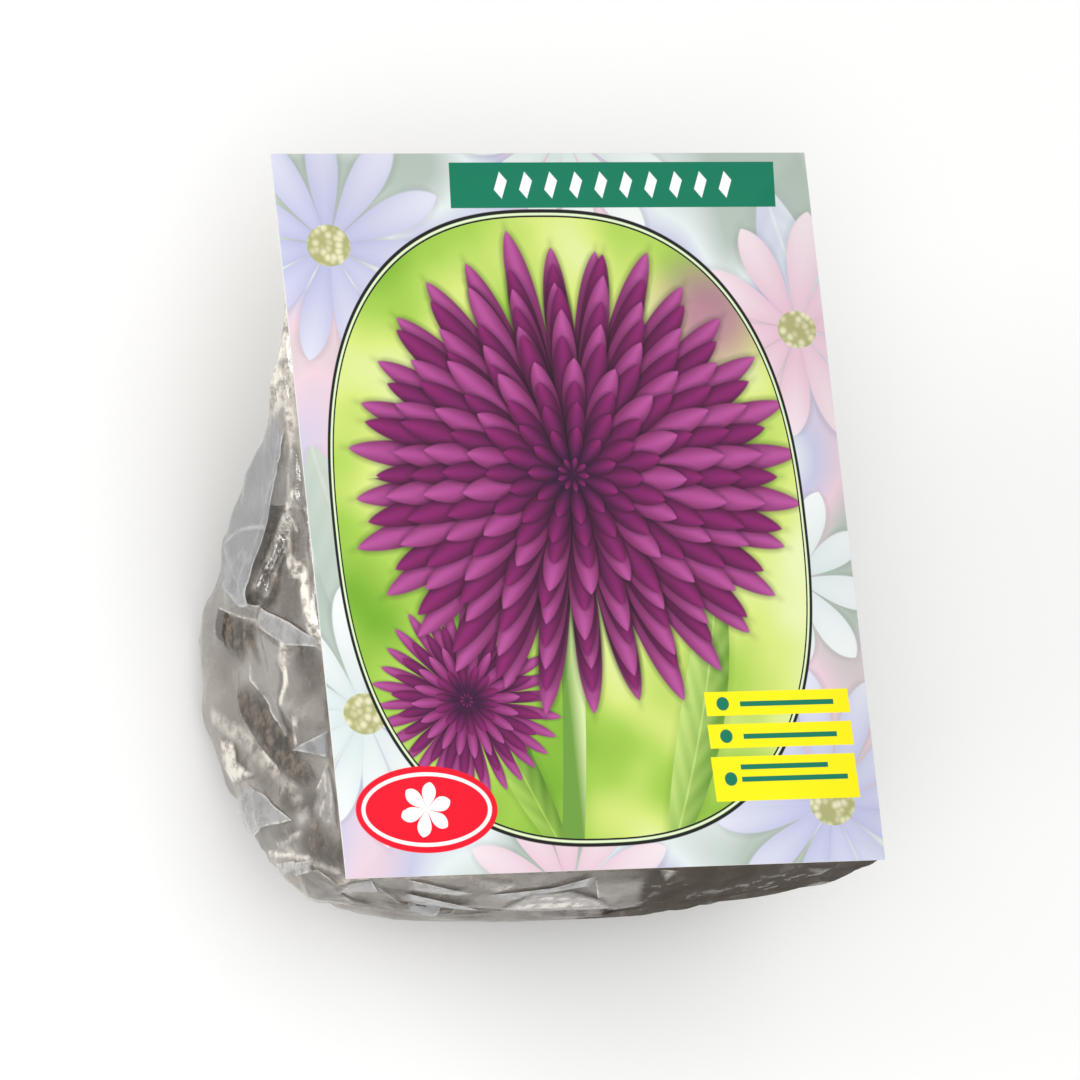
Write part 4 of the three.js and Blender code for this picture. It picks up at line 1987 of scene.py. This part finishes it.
class FaceDrawing:
    """Draws the print with shader nodes, in millimetres from the card's middle."""

    def __init__(self, finish: PrintFinish, graph: Graph, middle: Pair) -> None:
        """Starts the drawing.

        Args:
            finish: the inks, and how soft their edges are.
            graph: the material's graph.
            middle: the card's middle in millimetres.
        """
        self.inks, self.soft, self.graph = finish.inks, finish.soft, graph
        x, y, _ = self.graph.parts(self.graph.place())
        self.x, self.y = x - middle[0], y - middle[1]
        self.petals = self.petal_group()
        self.leaves = self.leaf_group()
        self.polar = self.polar_group()

    @staticmethod
    def polar_group() -> Tree:
        """A group that gives the turn and the reach of a point round a middle.

        Returns:
            The group.
        """
        values = ("X", "Y", "Middle X", "Middle Y")
        graph, wires, target = new_group("polar", values, (), {"Turn": FLOAT, "Reach": FLOAT})
        x, y = wires["X"] - wires["Middle X"], wires["Y"] - wires["Middle Y"]
        graph.put(target.inputs["Turn"], graph.math("ARCTAN2", y, x) / math.tau + 0.5)
        graph.put(target.inputs["Reach"], (x * x + y * y) ** 0.5)
        return graph.tree

    @staticmethod
    def petal_group() -> Tree:
        """A group that lays one ring of petals over a colour.

        Returns:
            The group.
        """
        values = ("Turn", "Reach", "Count", "Twist", "Inner", "Stretch", "Shade")
        colours = ("Root", "Tip", "Under")
        graph, w, target = new_group("petal_ring", values, colours, {"Colour": COLOUR})
        turn = w["Turn"].scaled(w["Count"], w["Twist"])
        luck = graph.chance(turn.whole() + w["Twist"])
        across = luck.scaled(0.22, turn.fraction().scaled(2.0, -1.11))
        aside = abs(across)
        far = (w["Reach"] - w["Inner"]) * w["Stretch"] * luck.scaled(-0.14, 1.06)
        along = far.clamped()
        width = (1.0 - along ** 2.6) ** 0.72
        gap = width - aside
        shadow = gap.scaled(2.2, 0.5, clamp=True) * far.under(1.02, 0.12) * w["Shade"]
        under = graph.mix(shadow, w["Under"], (0.0, 0.0, 0.0))
        tone = graph.mix(luck.scaled(0.3, along.scaled(1.1, -0.2), clamp=True), w["Root"], w["Tip"])
        side = (aside / width.most(0.05)).scaled(w["Shade"], -0.15, clamp=True)
        tone = graph.mix(side, tone, w["Root"], "MULTIPLY")
        rib = aside.scaled(-1.6, 0.9, clamp=True) * along
        tone = graph.mix(rib.scaled(0.3), tone, w["Tip"], "SCREEN")
        cover = gap.scaled(13.0, -0.1, clamp=True)
        graph.put(target.inputs["Colour"], graph.mix(cover, under, tone))
        return graph.tree

    @staticmethod
    def leaf_group() -> Tree:
        """A group that lays one pointed, curved leaf over a colour.

        Returns:
            The group.
        """
        values = ("X", "Y", "Start X", "Start Y", "Cosine", "Sine", "Length", "Width", "Curl")
        colours = ("Low", "High", "Under")
        graph, w, target = new_group("leaf", values, colours, {"Colour": COLOUR})
        x, y = w["X"] - w["Start X"], w["Y"] - w["Start Y"]
        along = (x * w["Cosine"] + y * w["Sine"]) / w["Length"]
        inside = along.clamped()
        across = (y * w["Cosine"] - x * w["Sine"]) / w["Width"] - inside * inside * w["Curl"]
        width = (inside * (1.0 - inside) * 4.0).most(0.0) ** 0.75
        aside = abs(across)
        present = width.scaled(12.0, 0.0, clamp=True)
        cover = (width - aside).scaled(20.0, 0.4, clamp=True) * present
        rib = aside.under(0.045, 0.05)
        veins = graph.math("SINE", aside.scaled(-9.0, inside * 60.0))
        lit = rib.scaled(0.35, veins.scaled(0.08, across.scaled(0.45, 0.5)), clamp=True)
        tone = graph.mix(lit, w["Low"], w["High"])
        shadow = (width - aside).scaled(2.0, 0.7, clamp=True) * present * 0.3
        under = graph.mix(shadow, w["Under"], w["Low"], "MULTIPLY")
        graph.put(target.inputs["Colour"], graph.mix(cover, under, tone))
        return graph.tree

    def bloom(self, under: Wire, flower: Bloom, shade: float) -> Wire:
        """Lays a flower over a colour.

        Args:
            under: the colour below.
            flower: the flower.
            shade: how deep the shadows between its petals are.

        Returns:
            The new colour.
        """
        place = {"X": self.x, "Y": self.y, "Middle X": flower.x, "Middle Y": flower.y}
        turn, reach = self.graph.group(self.polar, **place)
        for ring in flower.rings:
            sizes = {
                "Turn": turn, "Reach": reach, "Count": float(ring.petals), "Twist": ring.twist,
                "Inner": ring.inner, "Stretch": 1 / ring.length, "Shade": shade,
            }
            tones = {"Root": srgb(ring.root), "Tip": srgb(ring.tip), "Under": under}
            under = self.graph.group(self.petals, **sizes, **tones)[0]
        return under

    def leaf(
        self, under: Wire, start: Pair, heading: float,
        size: Pair, curl: float, tones: tuple[str, str],
    ) -> Wire:
        """Lays a leaf over a colour.

        Args:
            under: the colour below.
            start: where the leaf begins, from the card's middle.
            heading: which way it points, in degrees from the right.
            size: its length and half its width.
            curl: how far its tip bends aside, in half widths.
            tones: its dark and its light side.

        Returns:
            The new colour.
        """
        lean = math.radians(heading)
        sizes = {
            "X": self.x, "Y": self.y, "Start X": start[0], "Start Y": start[1],
            "Cosine": math.cos(lean), "Sine": math.sin(lean),
            "Length": size[0], "Width": size[1], "Curl": curl,
        }
        inks = {"Low": srgb(tones[0]), "High": srgb(tones[1]), "Under": under}
        return self.graph.group(self.leaves, **sizes, **inks)[0]

    def disc(self, x: float, y: float, rx: float, ry: float) -> Wire:
        """A mask of an ellipse."""
        far = (((self.x - x) / rx) ** 2.0 + ((self.y - y) / ry) ** 2.0) ** 0.5
        return far.under(1.0, self.soft * 2 / (rx + ry) * 2)

    def box(self, x: float, y: float, wide: float, high: float, slant: float = 0.0) -> Wire:
        """A mask of a box with leaning ends."""
        across = abs(self.x - x - (self.y - y) * slant) - wide / 2
        return across.most(abs(self.y - y) - high / 2).under(0.0, self.soft)

    def lay(self, under: Wire, mask: Wire, ink: str) -> Wire:
        """Lays a plain ink over a colour where a mask is 1."""
        return self.graph.mix(mask, under, srgb(ink))

    def pastel(self) -> Wire:
        """The pale flower ground.

        Returns:
            Its colour.
        """
        g, ink = self.graph, self.inks
        at = g.vector(self.x, self.y, 0.0)
        broad = g.noise(at, 0.016, 1, 0.4)
        stops = [
            (0.36, srgb(ink.sage)), (0.44, srgb(ink.frost)), (0.5, srgb(ink.lilac)),
            (0.58, srgb(ink.blush)), (0.68, srgb(ink.sage)),
        ]
        under = g.ramp(broad, stops)
        pale = ((-82, 20, ink.sage, ink.mist), (70, 96, ink.lilac, ink.frost))
        for x, y, low, high in pale:
            under = self.leaf(under, (x, y), -78.0, (88.0, 11.0), 0.8, (low, high))
        for daisy in DAISIES:
            under = self.bloom(under, daisy, 0.3)
            reach = daisy.rings[0].length
            crumb = g.cells(at, 0.42)
            seeds = g.mix(crumb.rise(0.1, 0.75), srgb(ink.cream), srgb(ink.seed))
            under = g.mix(self.disc(daisy.x, daisy.y, reach * 0.2, reach * 0.18), under, seeds)
        return g.mix(1.0, under, srgb(ink.dim), "MULTIPLY")

    def frame_lines(self, under: Wire) -> Wire:
        """The dark double line round the picture.

        Args:
            under: the colour below.

        Returns:
            The new colour.
        """
        x, y = abs((self.x - FRAME.x) / FRAME.wide), abs((self.y - FRAME.y) / FRAME.high)
        far = (x ** FRAME.power + y ** FRAME.power) ** (1 / FRAME.power)
        for limit, ink in ((1.026, self.inks.black), (1.014, self.inks.rim), (1.006, self.inks.black)):
            under = self.lay(under, far.under(limit, 0.003), ink)
        return under

    def view(self) -> Wire:
        """The framed picture: soft green ground, stems, leaves and a smaller bloom.

        Returns:
            Its colour.
        """
        g, ink = self.graph, self.inks
        at = g.vector(self.x, self.y, 3.0)
        haze = g.noise(at, 0.019, 2, 0.45)
        stops = [
            (0.3, srgb(ink.leaf)), (0.44, srgb(ink.fresh)), (0.56, srgb(ink.lime)),
            (0.7, srgb(ink.sun)),
        ]
        view = g.ramp(haze, stops)
        blur = (((self.x - 48.0) ** 2.0 + (self.y - 56.0) ** 2.0) ** 0.5).rise(26.0, 4.0)
        view = g.mix(blur * 0.75, view, srgb(ink.haze))
        view = self.leaf(view, (-14, -104), 118.0, (84.0, 6.0), -1.6, ("4c7d1c", "a9cf5a"))
        view = self.leaf(view, (16, -104), 66.0, (92.0, 7.0), 1.8, ("5d8f25", "c0dc78"))
        stem = abs(self.x + 6.0 + (self.y * 0.02) ** 2.0 * 2.0)
        lit = g.ramp(((self.x + 12.0) / 12.0).clamped(), [
            (0.15, srgb("6d9a3c")), (0.5, srgb("d5e6a4")), (0.85, srgb("7fab45")),
        ])
        view = g.mix(stem.under(3.6, self.soft) * self.y.under(-30.0, 1.0), view, lit)
        view = self.bloom(view, self.dahlia(-42.0, -55.0, 0.4, 5, 0.37), 0.6)
        return self.bloom(view, self.dahlia(-1.0, 10.0, 0.98, 11, 0.1), 0.8)

    def dahlia(self, x: float, y: float, scale: float, rings: int, twist: float) -> Bloom:
        """A full bloom of narrow overlapping petals.

        Args:
            x: its middle, from the card's middle.
            y: its middle, from the card's middle.
            scale: its size, where 1 is about 130 mm across.
            rings: how many rings of petals it has.
            twist: the turn of its first ring.

        Returns:
            The bloom.
        """
        ink = self.inks
        made = []
        for k in range(rings):
            share = k / (rings - 1)
            reach = (66.0 * (1 - share) ** 0.85 + 5.0) * scale
            root, tip = (ink.plum, ink.violet) if k % 2 else (ink.violet, ink.orchid)
            if share > 0.7:
                root, tip = ink.shade, ink.violet
            petals = round(30 - 21 * share)
            made.append(Ring(petals, reach * 0.34, reach * 0.66, twist + 0.5 * k, root, tip))
        return Bloom(x, y, tuple(made))

    def band(self, under: Wire) -> Wire:
        """The green band with a row of pale leaves.

        Args:
            under: the colour below.

        Returns:
            The new colour.
        """
        (x, y), pitch = BAND_PLACE, 8.0
        under = self.lay(under, self.box(x, y, 104.0, 13.5, 0.06), self.inks.band)
        step = (((self.x - x) / pitch).fraction() - 0.5) * pitch
        leaf = abs(step) / 2.2 + abs(self.y - y - step * 0.6) / 4.0
        row = leaf.under(1.0, 0.08) * self.box(x, y, 80.0, 10.0)
        return self.lay(under, row, self.inks.white)

    def tags(self, under: Wire) -> Wire:
        """The yellow tags, each with a dot and plain rules.

        Args:
            under: the colour below.

        Returns:
            The new colour.
        """
        ink, across, thick = self.inks, 56.0, 1.5
        for tag in TAGS:
            under = self.lay(under, self.box(across, tag.y, 46.0, tag.high, -0.03), ink.tag)
            under = self.lay(under, self.box(59.0, tag.y - 0.2, tag.rule, thick), ink.band)
            under = self.lay(under, self.disc(38.5, tag.y, 2.0, 2.0), ink.band)
        return self.lay(under, self.box(across, -76.6, 28.0, thick), ink.band)

    def badge(self, under: Wire) -> Wire:
        """The red badge with a white rim and a small blossom.

        Args:
            under: the colour below.

        Returns:
            The new colour.
        """
        ink, place = self.inks, BADGE_PLACE
        under = self.lay(under, self.disc(*place, 22.0, 12.5), ink.badge)
        rim = self.disc(*place, 20.2, 10.7) - self.disc(*place, 19.0, 9.6)
        under = self.lay(under, rim.clamped(), ink.white)
        petals = Ring(6, 1.6, 6.6, 0.25, ink.white, ink.white)
        return self.bloom(under, Bloom(*place, (petals,)), 0.0)

    def picture(self) -> Wire:
        """The colour of the framed picture."""
        return self.badge(self.tags(self.view()))

    def ground(self) -> Wire:
        """The colour of the ground round the picture."""
        return self.badge(self.tags(self.band(self.frame_lines(self.pastel()))))


@dataclass(frozen=True)
class BoardFinish:
    """Pale, uncoated board, as on the card's back and edges."""

    tone: str = "dcdcd8"
    speck: str = "b9b8b2"
    speck_share: float = 0.12
    rough: float = 0.7

    def material(self) -> Material:
        """The board's material.

        Returns:
            The material.
        """
        material, graph, shader = new_material("card_board")
        fibre = graph.noise(graph.place(), 0.9, 3, 0.6) * self.speck_share
        colour = graph.mix(fibre, srgb(self.tone), srgb(self.speck))
        graph.feed(shader, {"Base Color": colour, "Roughness": self.rough})
        return material


@dataclass
class PictureCard:
    """The stiff printed card in front of the bag. Sizes are in millimetres."""

    edge: float = 0.12
    points: int = 144
    board: BoardFinish = BoardFinish()
    face: PrintFinish = PrintFinish()
    bevel_steps: int = 2
    smooth_under: float = 40.0

    def build(self) -> Piece:
        """The card: the picture's outline, extruded to the card's edges and down to its back.

        Returns:
            The finished object.
        """
        low, high = [np.array(c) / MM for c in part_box(Node.CARD.value)]
        middle, half = (low + high) / 2, (high - low) / 2
        clear_selection()
        bpy.ops.mesh.primitive_circle_add(vertices=self.points, radius=1, fill_type="NGON")
        piece = bpy.context.object
        piece.name = piece.data.name = "printed_card"
        circle = points_of(piece.data)
        turns = np.arctan2(circle[:, 1], circle[:, 0])
        outline = FRAME.outline(turns) + middle[:2]
        face = np.full(self.points, high[2])
        set_points(piece.data, np.column_stack([outline, face]) * MM)
        self.extrude_rim()
        rim = self.on_edges(turns, half[:2]) + middle[:2]
        points = points_of(piece.data)
        points[self.points:] = np.column_stack([rim, face]) * MM
        set_points(piece.data, points)
        self.extrude_rim((0, 0, (low[2] - high[2]) * MM))
        take(piece)
        bpy.ops.object.mode_set(mode="EDIT")
        bpy.ops.mesh.edge_face_add()
        face_outward(piece)
        self.dress(piece, middle)
        soften = piece.modifiers.new("soften", "BEVEL")
        soften.width, soften.segments = self.edge * MM, self.bevel_steps
        soften.limit_method = "ANGLE"
        settle(piece)
        smooth(piece, self.smooth_under)
        enter(piece, Slot.CARD, Node.CARD)
        return piece

    @staticmethod
    def extrude_rim(step: Triple = (0, 0, 0)) -> None:
        """Extrudes the open rim of the active piece.

        Args:
            step: how far it moves, in metres.
        """
        bpy.ops.object.mode_set(mode="EDIT")
        bpy.ops.mesh.select_mode(type="EDGE")
        bpy.ops.mesh.select_all(action="SELECT")
        bpy.ops.mesh.region_to_loop()
        bpy.ops.mesh.extrude_edges_move(TRANSFORM_OT_translate={"value": step})
        bpy.ops.object.mode_set(mode="OBJECT")

    @staticmethod
    def on_edges(turns: Array, half: Array) -> Array:
        """Points on the card's edges, one for each direction, with its four corners.

        Args:
            turns: directions from the card's middle, in radians.
            half: half the card's width and height.

        Returns:
            Rows of x and y.
        """
        heading = np.column_stack([np.cos(turns), np.sin(turns)])
        points = heading / np.max(np.abs(heading) / half, axis=1)[:, None]
        for corner in half * np.array([[1, 1], [-1, 1], [-1, -1], [1, -1]]):
            points[np.argmin(np.linalg.norm(points - corner, axis=1))] = corner
        return points

    def dress(self, piece: Piece, middle: Array) -> None:
        """Gives the picture, the ground round it and the board their finishes.

        Args:
            piece: the card.
            middle: its middle in millimetres.
        """
        piece.data.materials.append(self.board.material())
        for area in PrintArea:
            piece.data.materials.append(self.face.material((middle[0], middle[1]), area))
        for face in piece.data.polygons:
            if face.normal.z > 0.9:
                face.material_index = 2 if len(face.vertices) == self.points else 1


# ---------- studio ----------
@dataclass(frozen=True)
class Lamp:
    """A softbox: where it stands, its sides and its power."""

    place: Triple
    size: Pair
    power: float


@dataclass
class Studio:
    """The pale floor, the soft light and the camera of the product picture, in metres."""

    target: Triple = (-0.01358, -0.00479, 0.0799)
    azimuth: float = -66.511
    elevation: float = 62.415
    roll: float = 62.724
    distance: float = 2.9
    lens: float = 338.38
    sensor: float = 36.0
    floor_tone: str = "fbfbfa"
    floor_size: float = 12.0
    floor_level: float = -0.0002
    daylight: Pair = (0.42, 1.06)
    lamps: tuple[Lamp, ...] = (
        Lamp((-0.8, -0.4, 1.9), (1.5, 1.5), 9.0),
        Lamp((0.5, 0.5, 1.9), (1.6, 1.6), 3.0),
        Lamp((-1.3, 0.5, 0.75), (0.7, 0.35), 5.0),
        Lamp((-1.2, -0.6, 0.4), (0.5, 0.16), 3.0),
        Lamp((-0.3, -1.3, 0.35), (0.5, 0.14), 2.5),
    )

    def build(self) -> None:
        """Makes the floor, the lamps, the world and the camera."""
        scene = bpy.context.scene
        scene.view_settings.view_transform = "Standard"
        self.floor()
        scene.world = self.sky()
        for number, lamp in enumerate(self.lamps):
            self.lamp(f"softbox_{number}", lamp)
        self.camera()

    def sky(self) -> bpy.types.World:
        """Soft light that is bright above and dim at the horizon.

        Returns:
            The world.
        """
        world = bpy.data.worlds.new("daylight")
        world.use_nodes = True
        world.node_tree.nodes.clear()
        graph = Graph(world.node_tree)
        coords = graph.node("ShaderNodeTexCoord")
        _, _, up = graph.parts(Wire(graph, coords.outputs["Generated"]))
        light = graph.node("ShaderNodeBackground")
        low, high = self.daylight
        graph.put(light.inputs["Strength"], up.rise(0.05, 0.75) * (high - low) + low)
        output = graph.node("ShaderNodeOutputWorld")
        graph.tree.links.new(light.outputs[0], output.inputs[0])
        return world

    def floor(self) -> None:
        """A wide plain floor under the pack."""
        clear_selection()
        bpy.ops.mesh.primitive_plane_add(size=self.floor_size, location=(0, 0, self.floor_level))
        floor = bpy.context.object
        floor.name = "floor"
        material, graph, shader = new_material("floor_paper")
        graph.feed(shader, {
            "Base Color": srgb(self.floor_tone), "Roughness": 0.9, "Specular IOR Level": 0.1,
        })
        floor.data.materials.append(material)

    @staticmethod
    def lamp(name: str, lamp: Lamp) -> None:
        """Hangs one softbox that faces the pack.

        Args:
            name: its name.
            lamp: its place, sides and power.
        """
        data = bpy.data.lights.new(name, "AREA")
        data.shape, data.energy = "RECTANGLE", lamp.power
        data.size, data.size_y = lamp.size
        holder = bpy.data.objects.new(name, data)
        holder.location = lamp.place
        holder.rotation_mode = "QUATERNION"
        holder.rotation_quaternion = (-Vector(lamp.place)).to_track_quat("-Z", "Y")
        bpy.context.scene.collection.objects.link(holder)

    def camera(self) -> None:
        """Sets the camera where the picture was taken from."""
        data = bpy.data.cameras.new("camera")
        data.lens, data.sensor_width = self.lens, self.sensor
        holder = bpy.data.objects.new("camera", data)
        a, e = math.radians(self.azimuth), math.radians(self.elevation)
        back = Vector((math.sin(a) * math.cos(e), -math.cos(a) * math.cos(e), math.sin(e)))
        holder.location = Vector(self.target) + back * self.distance
        holder.rotation_mode = "QUATERNION"
        tilt = Quaternion((0, 0, 1), math.radians(self.roll))
        holder.rotation_quaternion = (-back).to_track_quat("-Z", "Y") @ tilt
        bpy.context.scene.collection.objects.link(holder)
        bpy.context.scene.camera = holder


def main() -> None:
    """Builds the pack and its studio in order."""
    logging.basicConfig(level=logging.INFO, format="%(message)s")
    PictureCard().build()
    bag = FilmBag()
    net = bag.lay_out()
    packing = LoosePacking().build(net)
    bulb = FlowerBulb().build()
    bag.build(net, [packing, bulb])
    Studio().build()


if __name__ == "__main__":
    main()
